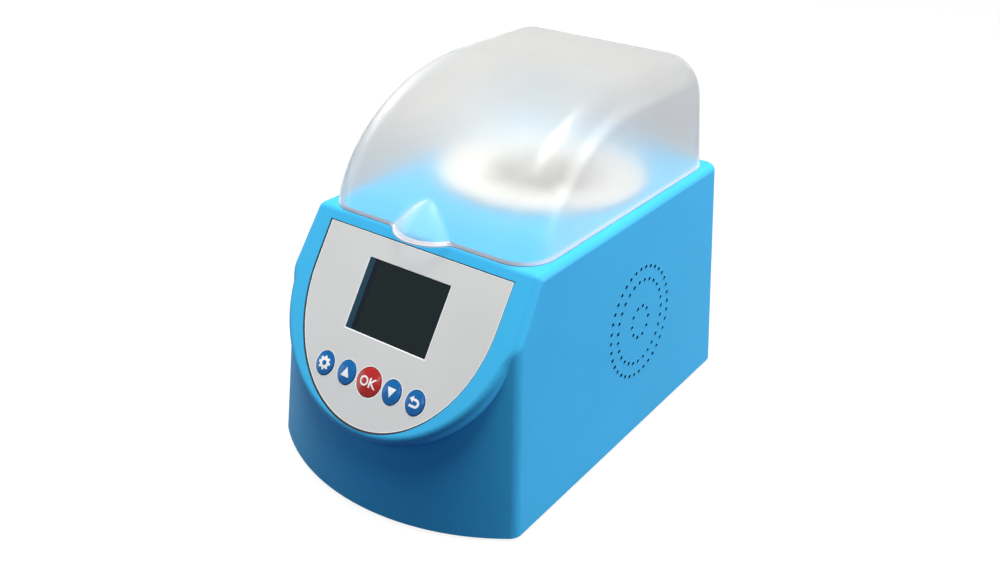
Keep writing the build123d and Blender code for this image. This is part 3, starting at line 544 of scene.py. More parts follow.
class Finishes(Enum):
    """The finishes of this instrument."""

    HOUSING = VentedPlastic(
        "housing_plastic", "housing_blue", (0.053, 0.46, 0.81), 0.42, specular=0.14
    )
    LID = FrostedShell("frosted_plastic", "lid_frosted", (0.905, 0.885, 0.855))
    PANEL = PrintedSheet("panel_sheet", "panel_silver", (0.66, 0.655, 0.65))
    # Pale ink: printed rings round the keys, and painted highlights along the sheet's and window's
    # cut edges.
    PALE_PRINT_AND_EDGE_HIGHLIGHT = PrintedInk("pale_print_and_edge_highlight", "panel_silver", (0.97, 0.97, 0.97))
    WINDOW = SmokedWindow("smoked_window", "window_dark", srgb(31, 40, 42))
    MODULE = MouldedPlastic("module_plastic", "module_black", (0.02, 0.02, 0.022), 0.5)
    KEY_BLUE = DomedResin("key_blue_resin", "key_blue", srgb(5, 98, 166))
    KEY_RED = DomedResin("key_red_resin", "key_red", srgb(176, 34, 34))
    ICON = PrintedInk("icon_ink", "panel_silver", (0.9, 0.9, 0.9))
    BOARD = CircuitBoard("board_mask", "board_green", (0.01, 0.12, 0.035))
    BLACK = MouldedPlastic("black_plastic", "moulded_black", (0.022, 0.022, 0.024), 0.42)
    RELAY = MouldedPlastic("relay_plastic", "board_green", (0.02, 0.09, 0.28), 0.35)
    SLEEVE = MouldedPlastic("capacitor_sleeve", "board_green", (0.03, 0.03, 0.05), 0.3)
    RUBBER = SoftRubber("foot_rubber", "foot_rubber", (0.018, 0.018, 0.019))
    SCREW = WorkedMetal(
        "screw_plating", "screw_steel", (0.62, 0.62, 0.6), 0.25, 0.3 * MM, (1, 1, 1)
    )
    BRACKET = WorkedMetal(
        "bracket_plating", "bracket_steel", (0.6, 0.61, 0.63), 0.34, 0.4 * MM, (0.06, 1, 1)
    )
    SHEET_STEEL = WorkedMetal(
        "sheet_steel", "bracket_steel", (0.55, 0.56, 0.57), 0.36, 0.6 * MM, (1, 1, 0.08)
    )
    BLOCK = WorkedMetal(
        "block_aluminium", "block_aluminium", (0.8, 0.8, 0.79), 0.5, 0.5 * MM, (1, 1, 0.04), 0.15
    )
    COLLAR = MouldedPlastic(
        "collar_resin", "collar_white", (0.69, 0.685, 0.68), 0.4, 0.6 * MM, 0.015 * MM, 0.01
    )
    WOOL = CrushedWool("jacket_wool", "jacket_fibre", (0.72, 0.69, 0.6))
    BRASS = WorkedMetal(
        "blade_brass", "blade_brass", (0.78, 0.58, 0.28), 0.28, 0.3 * MM, (1, 0.05, 1)
    )


def put(name: str, data: bpy.types.ID) -> Object:
    """Put data into the scene as an object."""
    holder = bpy.data.objects.new(name, data)
    bpy.context.scene.collection.objects.link(holder)
    return holder


def mesh_of(name: str, points: Sequence[Sequence[float]], faces: Sequence[Sequence[int]]) -> Mesh:
    """A mesh of points and faces."""
    mesh = bpy.data.meshes.new(name)
    mesh.from_pydata(points, [], faces)
    return mesh


@contextmanager
def opened(mesh: Mesh) -> Iterator[bmesh.types.BMesh]:
    """Open a mesh for edits, and write them back at the end.

    Args:
        mesh: The mesh.

    Yields:
        Its editable form.
    """
    cage = bmesh.new()
    cage.from_mesh(mesh)
    yield cage
    cage.to_mesh(mesh)
    cage.free()


def shape_of(node: str) -> tuple[list[Vector], list[tuple[int, ...]]]:
    """The points, in the row frame, and the faces of a frame node."""
    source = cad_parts[node]
    points = [source.matrix_world @ vertex.co for vertex in source.data.vertices]
    return points, [tuple(face.vertices) for face in source.data.polygons]


def evaluated(holder: Object) -> Mesh:
    """The plain mesh that an object has after its modifiers."""
    depsgraph = bpy.context.evaluated_depsgraph_get()
    depsgraph.update()
    return bpy.data.meshes.new_from_object(
        holder.evaluated_get(depsgraph), preserve_all_data_layers=True, depsgraph=depsgraph
    )


def modify(piece: Object, kind: str, **settings: object) -> None:
    """Change a piece's mesh by one modifier.

    Args:
        piece: The piece.
        kind: The modifier's type.
        settings: Properties of the modifier.
    """
    modifier = piece.modifiers.new("Change", kind)
    for key, value in settings.items():
        setattr(modifier, key, value)
    mesh = evaluated(piece)
    piece.modifiers.clear()
    piece.data = mesh


def enlist(piece: Object, finish: Finishes, body: str) -> None:
    """Give a piece its finish and the body it moves with, and report it."""
    mesh = piece.data
    if not mesh.materials:
        mesh.materials.append(finish.value.material())
    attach(piece, body)
    LOG.info("%s: %d faces on %s", piece.name, len(mesh.polygons), body)


def new_piece(name: str, mesh: Mesh, finish: Finishes, body: str = "instrument") -> Object:
    """Put a mesh into the scene as a piece.

    Args:
        name: Name of the piece.
        mesh: Its mesh, in the row frame.
        finish: Its finish.
        body: The body it moves with.

    Returns:
        The piece.
    """
    piece = put(name, mesh)
    enlist(piece, finish, body)
    return piece


def smooth_by_angle(mesh: Mesh, angle: float) -> None:
    """Shade a mesh smooth apart from edges sharper than an angle in degrees."""
    with opened(mesh) as cage:
        for face in cage.faces:
            face.smooth = True
        for edge in cage.edges:
            edge.smooth = len(edge.link_faces) == 2 and edge.calc_face_angle(0.0) < radians(angle)


def dress(
    node: str,
    finish: Finishes,
    bevel: float = 0.0,
    body: str = "instrument",
    sharp: float = 30.0,
) -> Object:
    """Stand a smoothly shaded copy of a frame node in its place.

    Args:
        node: Name of the frame node.
        finish: Finish of the copy.
        bevel: Width in millimetres of the bevel on its sharp edges.
        body: The body it moves with.
        sharp: Edges over this angle in degrees stay sharp.

    Returns:
        The copy.
    """
    name = f"{node}_dressed"
    mesh = mesh_of(name, *shape_of(node))
    with opened(mesh) as cage:
        bmesh.ops.remove_doubles(cage, verts=cage.verts, dist=JOIN)
        bmesh.ops.dissolve_degenerate(cage, edges=cage.edges, dist=JOIN)
    piece = put(name, mesh)
    if bevel:
        with opened(mesh) as cage:
            bmesh.ops.dissolve_limit(
                cage, angle_limit=radians(1), verts=cage.verts, edges=cage.edges
            )
        limit = {"limit_method": "ANGLE", "angle_limit": radians(sharp)}
        modify(piece, "BEVEL", width=bevel * MM, segments=2, **limit)
    smooth_by_angle(piece.data, sharp)
    modify(piece, "WEIGHTED_NORMAL", keep_sharp=True)
    enlist(piece, finish, body)
    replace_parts(piece, node)
    return piece


def repaint(piece: Object, choose: Callable[[Vector], Finishes | None]) -> None:
    """Give some faces of a piece another finish.

    Args:
        piece: The piece.
        choose: Names the finish for a face's middle, or None to leave it.
    """
    mesh = piece.data
    for face in mesh.polygons:
        finish = choose(face.center)
        if finish:
            material = finish.value.material()
            if mesh.materials.find(material.name) < 0:
                mesh.materials.append(material)
            face.material_index = mesh.materials.find(material.name)


class Socket(Enum):
    """Kinds of input on a Geometry Nodes tree."""

    LENGTH = "NodeSocketFloat"
    COUNT = "NodeSocketInt"
    MATERIAL = "NodeSocketMaterial"


class Repeater:
    """A Geometry Nodes tree with named inputs that ends in realised instances."""

    def __init__(self, name: str, inputs: dict[str, Socket]) -> None:
        """Start the tree.

        Args:
            name: Name of the tree.
            inputs: Its named inputs and their kinds.
        """
        self.tree = bpy.data.node_groups.new(name, "GeometryNodeTree")
        self.identifiers: dict[str, str] = {}
        add_socket = self.tree.interface.new_socket
        add_socket("Places", in_out="INPUT", socket_type="NodeSocketGeometry")
        add_socket("Mesh", in_out="OUTPUT", socket_type="NodeSocketGeometry")
        for label, kind in {**inputs, "Finish": Socket.MATERIAL}.items():
            socket = add_socket(label, in_out="INPUT", socket_type=kind.value)
            self.identifiers[label] = socket.identifier
        self.inputs = self.tree.nodes.new("NodeGroupInput")
        self.outputs = self.tree.nodes.new("NodeGroupOutput")

    def value(self, label: str) -> Field:
        """A named input as a field."""
        return Field(self.tree, self.inputs.outputs[label])

    def node(self, kind: str, links: Mapping[int | str, object], **settings: object) -> Field:
        """Add a Geometry node and take its first output as a field."""
        node = add_node(self.tree, f"GeometryNode{kind}", links, **settings)
        return Field(self.tree, node.outputs[0])

    def vector(self, **parts: Field) -> Field:
        """A vector of the named parts X, Y and Z."""
        return Field(self.tree, add_node(self.tree, "ShaderNodeCombineXYZ", parts).outputs[0])

    def spread(self, shape: Field, **links: Field) -> Repeater:
        """Set the shape on each place, realise it, give it its material and end the tree.

        Args:
            shape: The geometry that is repeated.
            links: More inputs of the instances.

        Returns:
            The finished tree.
        """
        at = {"Points": self.inputs.outputs[0], "Instance": shape, **links}
        real = self.node("RealizeInstances", {0: self.node("InstanceOnPoints", at)})
        smooth = self.node("SetShadeSmooth", {0: real})
        dressed = self.node("SetMaterial", {0: smooth, "Material": self.value("Finish")})
        self.tree.links.new(dressed.socket, self.outputs.inputs[0])
        return self

    def mesh(
        self, name: str, places: Sequence[Triple], finish: Finishes, values: dict[str, object]
    ) -> Mesh:
        """Run the tree once over a set of places.

        Args:
            name: Name of the mesh.
            places: Points where the shape is repeated.
            finish: The finish of the shapes.
            values: Values for the other named inputs.

        Returns:
            The result as a plain mesh.
        """
        carrier = put(f"{name}_carrier", mesh_of(f"{name}_places", places, []))
        modifier = carrier.modifiers.new("Repeat", "NODES")
        modifier.node_group = self.tree
        for label, value in {**values, "Finish": finish.value.material()}.items():
            modifier[self.identifiers[label]] = value
        mesh = evaluated(carrier)
        mesh.name = name
        bpy.data.objects.remove(carrier)
        return mesh


def rim_tree() -> Repeater:
    """A rounded rim round each place, for vent holes and wells."""
    lengths = dict.fromkeys(("Rim radius", "Wire radius"), Socket.LENGTH)
    tree = Repeater("Rims", {**lengths, "Rim sides": Socket.COUNT})
    circle = "CurvePrimitiveCircle"
    sides, radius = tree.value("Rim sides"), tree.value("Rim radius")
    path = tree.node(circle, {"Resolution": sides, "Radius": radius})
    wire = tree.node(circle, {"Resolution": 6, "Radius": tree.value("Wire radius")})
    return tree.spread(tree.node("CurveToMesh", {"Curve": path, "Profile Curve": wire}))


def screw_tree() -> Repeater:
    """A pan-head screw with a cross recess at each place, head up, each turned at random."""
    names = ("Head radius", "Head side", "Head crown", "Recess arm", "Recess width")
    names += ("Recess depth", "Shank radius", "Shank length")
    lengths = dict.fromkeys(names, Socket.LENGTH)
    repeater = Repeater("Screws", {**lengths, "Turn seed": Socket.COUNT})
    tree, value = repeater.tree, repeater.value
    top, soft = 0.85, 0.22 * MM
    size = {"Size X": 1.0, "Size Y": 1.0, "Vertices X": 30, "Vertices Y": 73}
    place = add_node(tree, "ShaderNodeSeparateXYZ", {0: repeater.node("InputPosition", {})})
    out = Field(tree, place.outputs[0]) + 0.5
    angle = (Field(tree, place.outputs[1]) + 0.5) * tau
    share = (out / top).math("MINIMUM", 1.0)
    radius = share * value("Head radius")
    across = radius * angle.math("COSINE")
    along = radius * angle.math("SINE")
    sides = across.math("ABSOLUTE"), along.math("ABSOLUTE")
    near, far = (sides[0].math(kind, sides[1]) for kind in ("MINIMUM", "MAXIMUM"))
    flank = ((value("Recess width") * 0.5 - near) / soft).clamped()
    end = ((value("Recess arm") - far) / soft).clamped()
    crown = value("Head side") + value("Head crown") * (share * share * -1.0 + 1.0)
    fall = ((out - top) / (1 - top)).math("MAXIMUM", 0.0) * -1.0 + 1.0
    height = crown * fall - value("Recess depth") * flank * end
    point = repeater.vector(X=across, Y=along, Z=height)
    shaped = repeater.node("SetPosition", {0: repeater.node("MeshGrid", size), "Position": point})
    head = repeater.node("MergeByDistance", {0: shaped, "Distance": JOIN})
    disc = {"Vertices": 72, "Radius": value("Head radius")}
    seat = repeater.node("FlipFaces", {0: repeater.node("MeshCircle", disc, fill_type="NGON")})
    rod = {"Vertices": 24, "Radius": value("Shank radius"), "Depth": value("Shank length")}
    drop = repeater.vector(Z=value("Shank length") * -0.5)
    lowered = {0: repeater.node("MeshCylinder", rod), "Translation": drop}
    shank = repeater.node("Transform", lowered)
    whole = repeater.node("JoinGeometry", {0: head})
    for part in (seat, shank):
        tree.links.new(part.socket, whole.socket.node.inputs[0])
    chance = add_node(tree, "FunctionNodeRandomValue", {}, data_type="FLOAT")
    sockets = {socket.identifier: socket for socket in (*chance.inputs, *chance.outputs)}
    sockets["Max_001"].default_value = tau
    tree.links.new(value("Turn seed").socket, sockets["Seed"])
    turn = repeater.vector(Z=Field(tree, sockets["Value_001"]))
    return repeater.spread(whole, Rotation=turn)


@dataclass(frozen=True)
class SlopedPlane:
    """A leaning flat of the instrument, with its own across, along and outward directions."""

    origin: Triple
    across: Triple
    outward: Triple

    def matrix(self) -> Matrix:
        """Places local points in the row frame."""
        x = Vector(self.across).normalized()
        z = Vector(self.outward).normalized()
        turned = Matrix((x, z.cross(x), z)).transposed().to_4x4()
        return Matrix.Translation(Vector(self.origin)) @ turned

    def point(self, across: float, along: float, out: float = 0.0) -> Vector:
        """One local point in the row frame."""
        return self.matrix() @ Vector((across, along, out))


SLOPE = radians(33.6)
REAR_TILT = atan(6.5 / 153)
CONSOLE = SlopedPlane((0.0, -83.462 * MM, 148.7 * MM), (1, 0, 0), (0, -cos(SLOPE), sin(SLOPE)))
REAR_WALL = SlopedPlane((0.0, 146 * MM, 2 * MM), (-1, 0, 0), (0, cos(REAR_TILT), sin(REAR_TILT)))
UNDERSIDE = SlopedPlane((0.0, 0.0, 0.0), (1, 0, 0), (0, 0, -1))


def ellipse(rx: float, ry: float, count: int, centre: Pair = (0.0, 0.0)) -> list[Pair]:
    """Points round an ellipse, anticlockwise from its right."""
    angles = [tau * index / count for index in range(count)]
    return [(centre[0] + rx * cos(angle), centre[1] + ry * sin(angle)) for angle in angles]


class Outline:
    """Flat shapes drawn as points and faces in a local plane."""

    def __init__(self) -> None:
        """Start empty."""
        self.points: list[Pair] = []
        self.faces: list[tuple[int, ...]] = []

    def band(self, outer: Sequence[Pair], inner: Sequence[Pair], closed: bool = True) -> Outline:
        """Add a band of quads between two rows of points that run the same way round."""
        start, count = len(self.points), len(outer)
        self.points += [*outer, *inner]
        for index in range(count if closed else count - 1):
            low, high = start + index, start + (index + 1) % count
            self.faces.append((low, high, high + count, low + count))
        return self

    def polygon(self, *corners: Pair) -> Outline:
        """Add one face."""
        start = len(self.points)
        self.points += corners
        self.faces.append(tuple(range(start, start + len(corners))))
        return self

    def mesh(self, name: str, unit: float = 1.0) -> Mesh:
        """The shapes as a flat mesh on z = 0 that faces up, in metres."""
        return mesh_of(name, [(x * unit, y * unit, 0.0) for x, y in self.points], self.faces)


def lettering(name: str, words: str, height: float, weight: float) -> Mesh:
    """Plain letters as a flat mesh, centred on the origin.

    Args:
        name: Name of the mesh.
        words: The letters.
        height: Height of a capital.
        weight: How far the strokes are thickened.

    Returns:
        The flat mesh.
    """
    capital_share = 0.73
    curve = bpy.data.curves.new(name, "FONT")
    curve.body = words
    curve.size = height / capital_share
    curve.offset = weight
    curve.align_x = "CENTER"
    curve.resolution_u = 6
    carrier = put(f"{name}_carrier", curve)
    mesh = evaluated(carrier)
    bpy.data.objects.remove(carrier)
    rows = list(zip(*(vertex.co for vertex in mesh.vertices)))
    x, y = (-(min(row) + max(row)) / 2 for row in rows[:2])
    mesh.transform(Matrix.Translation((x, y, 0)))
    return mesh


def refine(mesh: Mesh, longest: float) -> None:
    """Split a flat mesh's edges until none is longer than a length."""
    with opened(mesh) as cage:
        bmesh.ops.remove_doubles(cage, verts=cage.verts, dist=JOIN / 2)
        bmesh.ops.triangulate(cage, faces=cage.faces)
        for _ in range(8):
            long = [edge for edge in cage.edges if edge.calc_length() > longest]
            if not long:
                break
            bmesh.ops.subdivide_edges(cage, edges=long, cuts=1, use_grid_fill=False)
            bmesh.ops.triangulate(cage, faces=cage.faces)
        for face in cage.faces:
            face.smooth = True
            if face.normal.z < 0:
                face.normal_flip()


def stamp(mesh: Mesh, plane: SlopedPlane, centre: Pair, node: str, lift: float) -> None:
    """Lay a flat mesh on a frame node's surface.

    Args:
        mesh: Flat mesh on z = 0, changed in place.
        plane: The plane it is dropped from.
        centre: Its centre in that plane.
        node: The frame node it lands on.
        lift: How far it stays off the surface.
    """
    drop = 30 * MM
    tree = BVHTree.FromPolygons(*shape_of(node))
    outward = Vector(plane.outward).normalized()
    for vertex in mesh.vertices:
        start = plane.point(centre[0] + vertex.co.x, centre[1] + vertex.co.y, drop)
        hit = tree.ray_cast(start, -outward)[0]
        vertex.co = (hit or start - outward * drop) + outward * lift


@dataclass(frozen=True)
class Lamp:
    """A soft box at a place, turned to a point, that may glow through the frosted lid."""

    name: str
    at: Triple
    aim: Triple
    size: Pair
    watts: float
    colour: Colour = (1.0, 1.0, 1.0)
    through: bool = True

    def hang(self) -> None:
        """Hang it in the scene."""
        light = bpy.data.lights.new(self.name, "AREA")
        light.color = self.colour
        light.shape = "RECTANGLE"
        light.size, light.size_y = self.size
        light.energy = self.watts
        holder = put(self.name, light)
        holder.visible_transmission = self.through
        holder.location = self.at
        way = Vector(self.aim) - Vector(self.at)
        holder.rotation_euler = way.to_track_quat("-Z", "Y").to_euler()


@dataclass
class Studio:
    """Camera, lamps, floor and surroundings."""

    camera_at: Triple = (0.34704, -0.493557, 0.40697)
    yaw: float = radians(35.16)
    pitch: float = radians(27.458)
    roll: float = radians(1.47)
    lens: float = 37.424
    floor_size: float = 9.0
    fill: float = 0.11
    fill_colour: Colour = (0.4, 0.62, 1.0)
    off_gloss: float = 0.3
    through_lid: float = 0.28
    unseen_floor: Colour = (0.015, 0.025, 0.1)
    seen_floor: Colour = (0.85, 0.85, 0.85)
    floor_glow: float = 1.05
    glow_share: float = 0.85
    lamps: tuple[Lamp, ...] = (
        Lamp("overhead", (0.05, -0.05, 1.95), (0, 0, 0.1), (0.9, 0.7), 55, (1.0, 0.99, 0.93)),
        Lamp("right_side", (1.6, 0.85, 0.5), (0, 0, 0.1), (1.3, 0.9), 26, through=False),
        Lamp("left_side", (-1.5, -0.9, 0.35), (0, 0, 0.08), (0.9, 0.8), 4.5, (0.8, 0.93, 1.0)),
        Lamp("scoop_glint", (1.15, -1.05, 1.5), (0, -0.09, 0.17), (0.06, 0.5), 1.1),
        Lamp("lip_glint", (-1.7, 0.45, 0.95), (-0.05, -0.13, 0.12), (0.5, 0.15), 5),
        Lamp("key_glint", (-0.54, -1.6, 1.2), (0, -0.12, 0.1), (0.06, 0.4), 1.0),
    )

    def set_camera(self) -> None:
        """Place the camera and make it the scene's own."""
        camera = bpy.data.cameras.new("Camera")
        camera.lens = self.lens
        camera.sensor_width = 36
        camera.clip_start = 0.01
        stand = Matrix.Translation(self.camera_at)
        for angle, axis in ((self.yaw, "Z"), (pi / 2 - self.pitch, "X"), (self.roll, "Z")):
            stand = stand @ Matrix.Rotation(angle, 4, axis)
        holder = put("Camera", camera)
        holder.matrix_world = stand
        bpy.context.scene.camera = holder

    def seen_white(self, tree: NodeTree) -> Field:
        """1 for rays from the camera, less off gloss and through the frosted lid, otherwise 0."""
        through = ray(tree, "Transmission")
        share = through * (self.through_lid - self.off_gloss) + self.off_gloss
        dimmed = ray(tree, "Glossy").math("MAXIMUM", through) * share
        return ray(tree, "Camera").math("MAXIMUM", dimmed)

    def set_world(self) -> None:
        """White to look at, dimmer and bluer as a source of light."""
        world = bpy.data.worlds.new("World")
        bpy.context.scene.world = world
        world.use_nodes = True
        tree = world.node_tree
        background = tree.nodes["Background"]
        seen = self.seen_white(tree)
        tint = add_node(tree, "ShaderNodeValToRGB", {0: seen})
        unlit, white = tint.color_ramp.elements
        unlit.color = (*self.fill_colour, 1.0)
        white.position = 0.2
        white.color = (1, 1, 1, 1)
        tree.links.new(tint.outputs[0], background.inputs["Color"])
        strength = seen * (1.0 - self.fill) + self.fill
        tree.links.new(strength.socket, background.inputs["Strength"])

    def lay_floor(self) -> None:
        """A pale floor that looks white and keeps the instrument's shadow."""
        half = self.floor_size / 2
        corners = [(-half, -half, 0), (half, -half, 0), (half, half, 0), (-half, half, 0)]
        floor = put("floor", mesh_of("floor", corners, [(0, 1, 2, 3)]))
        surface = Surface("floor_paper", {"Roughness": 0.9, "Specular IOR Level": 0.0})
        seen = self.seen_white(surface.tree)
        surface.colour_by(seen, [(0.0, self.unseen_floor), (1.0, self.seen_floor)])
        surface.cover(seen * self.glow_share, "ShaderNodeEmission", {"Strength": self.floor_glow})
        floor.data.materials.append(surface.material)

    def build(self) -> None:
        """Set up everything round the instrument."""
        self.set_camera()
        self.set_world()
        self.lay_floor()
        for lamp in self.lamps:
            lamp.hang()
        bpy.context.scene.view_settings.view_transform = "Standard"


@dataclass
class Housing:
    """The blue moulding and the rims of its side vents."""

    rings: Triple = (36.5 * MM, 28.0 * MM, 10.5 * MM)
    pitch: float = 6.4 * MM
    rim_radius: float = 1.42 * MM
    wire: float = 0.17 * MM

    def build(self, rims: Repeater) -> None:
        """Dress the moulding and set a rim round each vent hole on both sides."""
        dress("housing", Finishes.HOUSING, sharp=28)
        wall_x = WALL.base_half - (WALL.vent_z - WALL.foot) * WALL.lean
        places = []
        for ring in self.rings:
            holes = ellipse(ring, ring, round(tau * ring / self.pitch))
            places += [(x, y, 0.0) for x, y in holes]
        sizes = {"Rim radius": self.rim_radius, "Wire radius": self.wire, "Rim sides": 20}
        for side, name in ((1, "vent_rims_right"), (-1, "vent_rims_left")):
            mesh = rims.mesh(name, places, Finishes.HOUSING, sizes)
            outward = (0, -side * WALL.lean, side, side * wall_x)
            rows = (outward, (1, 0, 0, WALL.vent_y), (0, 1, 0, WALL.vent_z), (0, 0, 0, 1))
            mesh.transform(Matrix(rows))
            if side < 0:
                mesh.flip_normals()
            new_piece(name, mesh, Finishes.HOUSING)


@dataclass(frozen=True)
class Keypad:
    """The five domed keys, their printed signs and the board below them.

    The gear and the triangles are drawn in millimetres.
    """

    names: tuple[str, ...] = ("key_settings", "key_up", "key_ok", "key_down", "key_back")
    pitch: float = 17.1 * MM
    drop: float = 81.1 * MM
    oval: Pair = (6.4 * MM, 7.2 * MM)
    round_radius: float = 8.6 * MM
    lift: float = 0.035 * MM
    board_depth: float = 9.6 * MM
    switch_foot: float = 0.4 * MM

    def radii(self, name: str) -> Pair:
        """Half the width and half the height of a key."""
        return (self.round_radius, self.round_radius) if name == "key_ok" else self.oval

    def place(self, name: str) -> Pair:
        """A key's centre on the console."""
        return (self.names.index(name) - 2) * self.pitch, -self.drop

    def gear(self) -> Mesh:
        """A gear with eight teeth and a hole."""
        steps, teeth, flank = 128, 8, 2.6
        root, tooth, hole = 3.35, 0.95, 1.55
        outer = []
        for index in range(steps):
            angle = tau * index / steps
            radius = root + tooth * min(max(cos(teeth * angle) * flank + 0.5, 0.0), 1.0)
            outer.append((radius * cos(angle), radius * sin(angle)))
        return Outline().band(outer, ellipse(hole, hole, steps)).mesh("gear_sign", MM)

    def triangle(self, name: str, way: int) -> Mesh:
        """A triangle that points up (1) or down (-1) the console."""
        half, foot, tip = 3.1, -2.6 * way, 3.2 * way
        return Outline().polygon((-half, foot), (half, foot), (0.0, tip)).mesh(name, MM)

    def arrow_back(self) -> Mesh:
        """An arrow that turns back to the left."""
        half, top, bottom = 0.72 * MM, 1.7 * MM, -2.2 * MM
        bend, level, radius, turns = 0.9 * MM, -0.25 * MM, 1.95 * MM, 16
        middle = [(-1.4 * MM, top), (bend, top)]
        for index in range(1, turns + 1):
            angle = pi / 2 - pi * index / turns
            middle.append((bend + radius * cos(angle), level + radius * sin(angle)))
        middle.append((-3.0 * MM, bottom))
        outer, inner = [], []
        for index, (x, y) in enumerate(middle):
            before = Vector(middle[max(index - 1, 0)])
            after = Vector(middle[min(index + 1, len(middle) - 1)])
            way = (after - before).normalized()
            outer.append((x - way.y * half, y + way.x * half))
            inner.append((x + way.y * half, y - way.x * half))
        outline = Outline().band(outer, inner, closed=False)
        tip = (-3.7 * MM, top), (-1.2 * MM, -0.35 * MM), (-1.2 * MM, 3.75 * MM)
        return outline.polygon(*tip).mesh("back_sign")

    def signs(self) -> dict[str, Mesh]:
        """The flat sign of each key."""
        return {
            "key_settings": self.gear(),
            "key_up": self.triangle("up_sign", 1),
            "key_ok": lettering("ok_sign", "OK", 5.9 * MM, 0.16 * MM),
            "key_down": self.triangle("down_sign", -1),
            "key_back": self.arrow_back(),
        }

    def build(self) -> None:
        """Dress each key, print its sign on the crown, and dress the board."""
        for name, sign in self.signs().items():
            dress(name, Finishes.KEY_RED if name == "key_ok" else Finishes.KEY_BLUE, 0.25, name)
            refine(sign, 0.7 * MM)
            stamp(sign, CONSOLE, self.place(name), name, self.lift)
            new_piece(f"{name}_sign", sign, Finishes.ICON, name)
        board = dress("keypad_board", Finishes.BOARD)
        top = CONSOLE.point(0, 0, -self.board_depth)
        outward = Vector(CONSOLE.outward)

        def switch(point: Vector) -> Finishes | None:
            """Black for the switches, which stand up from the board."""
            return Finishes.BLACK if (point - top).dot(outward) > self.switch_foot else None

        repaint(board, switch)


@dataclass
class ConsolePanel:
    """The silver sheet, the window with a painted highlight along its cut edge, and the display
    behind it.
    """

    sheet_top: float = -0.4 * MM
    window_top: float = -0.7 * MM
    window_drop: float = 35.3 * MM
    opening: Pair = (60.4 * MM, 43.9 * MM)
    sheet: Pair = (134.8 * MM, 108.61 * MM)
    straight: float = 28.0 * MM
    # Width of the painted highlight along the cut edges.
    line: float = 0.42 * MM
    edge: float = 0.22 * MM
    gap: float = 0.35 * MM
    shadow: Pair = (0.05 * MM, 1.0 * MM)
    shadow_way: Pair = (-0.5, -0.87)
    rim_gap: float = 0.4 * MM
    rim_width: float = 0.45 * MM
    print_lift: float = 0.03 * MM
    edge_lift: float = 0.02 * MM
    arc_steps: int = 96
    key_sides: int = 72

    def window_edge(self) -> None:
        """A pale line along the sheet's cut edge at the window's left, bottom and right, its
        brightness a painted highlight; the top edge is left out.
        """
        half_w, half_h = self.opening[0] / 2, self.opening[1] / 2
        foot = self.window_top - self.sheet_top
        points = []
        for grow, out in ((self.line, self.print_lift), (0.0, self.print_lift), (-self.edge, foot)):
            for x, y in ((-1, 1), (-1, -1), (1, -1), (1, 1)):
                side, end = half_w + grow, half_h + (grow if y < 0 else 0.0)
                place = (x * side, y * end - self.window_drop, self.sheet_top + out)
                points.append(CONSOLE.point(*place))
        faces = [(at, at + 4, at + 5, at + 1) for at in (0, 1, 2, 4, 5, 6)]
        name = "window_edge_highlight"
        new_piece(name, mesh_of(name, points, faces), Finishes.PALE_PRINT_AND_EDGE_HIGHLIGHT)

    def sheet_row(self, inset: float, shade: float) -> list[Pair]:
        """One outline inside the sheet's own.

        Args:
            inset: How far it is set in all round.
            shade: How much further at the lower left, where the gap's shadow is widest.

        Returns:
            The points of the outline, clockwise from the upper left.
        """
        half = self.sheet[0] / 2
        height = self.sheet[1] - self.straight
        left, down = self.shadow_way
        row = [(-half + inset - left * shade, -inset), (half - inset, -inset)]
        for index in range(self.arc_steps + 1):
            angle = -pi * index / self.arc_steps
            x, y = cos(angle), sin(angle)
            set_in = inset + shade * max(0.0, left * x + down * y)
            row.append(((half - set_in) * x, (height - set_in) * y - self.straight))
        return row

    def print_on_sheet(self, name: str, outline: Outline, lift: float, finish: Finishes) -> None:
        """Lay flat shapes a lift over the sheet as a piece."""
        mesh = outline.mesh(name)
        mesh.transform(CONSOLE.matrix() @ Matrix.Translation((0, 0, self.sheet_top + lift)))
        new_piece(name, mesh, finish)

    def sheet_edge(self) -> None:
        """Painted shadow: a black band over the gap round the sheet and the sheet's outer edge,
        widest at the lower left; inside it a pale line along the cut edge, its brightness a painted
        highlight.
        """
        start, shade = self.shadow
        outside = self.sheet_row(-self.gap, 0.0)
        shadow_line = self.sheet_row(start, shade)
        inside = self.sheet_row(start + self.line, shade)
        dark, pale = Outline().band(shadow_line, outside), Outline().band(inside, shadow_line)
        # Painted shadow in a dark rubber finish, then the painted highlight in pale ink.
        self.print_on_sheet("sheet_gap_shadow", dark, self.edge_lift, Finishes.RUBBER)
        self.print_on_sheet("sheet_edge_highlight", pale, self.edge_lift, Finishes.PALE_PRINT_AND_EDGE_HIGHLIGHT)

    def key_rims(self, keypad: Keypad) -> None:
        """Thin pale rings printed round the key openings."""
        outline = Outline()
        for name in keypad.names:
            rx, ry = keypad.radii(name)
            rows = (
                ellipse(rx + grow, ry + grow, self.key_sides, keypad.place(name))
                for grow in (self.rim_gap + self.rim_width, self.rim_gap)
            )
            outline.band(*rows)
        self.print_on_sheet("key_rims", outline, self.print_lift, Finishes.PALE_PRINT_AND_EDGE_HIGHLIGHT)

    def build(self, keypad: Keypad) -> None:
        """Dress the sheet, the window and the display, add the painted highlight and shadow lines
        along their edges, and print the key rims.
        """
        dress("panel_overlay", Finishes.PANEL, 0.12)
        dress("display_window", Finishes.WINDOW, 0.1)
        dress("display_module", Finishes.MODULE, 0.4)
        self.window_edge()
        self.sheet_edge()
        self.key_rims(keypad)


@dataclass
class Lid:
    """The frosted lid."""

    sharp: float = 40

    def build(self) -> None:
        """Dress the shell."""
        dress("lid", Finishes.LID, body="lid", sharp=self.sharp)


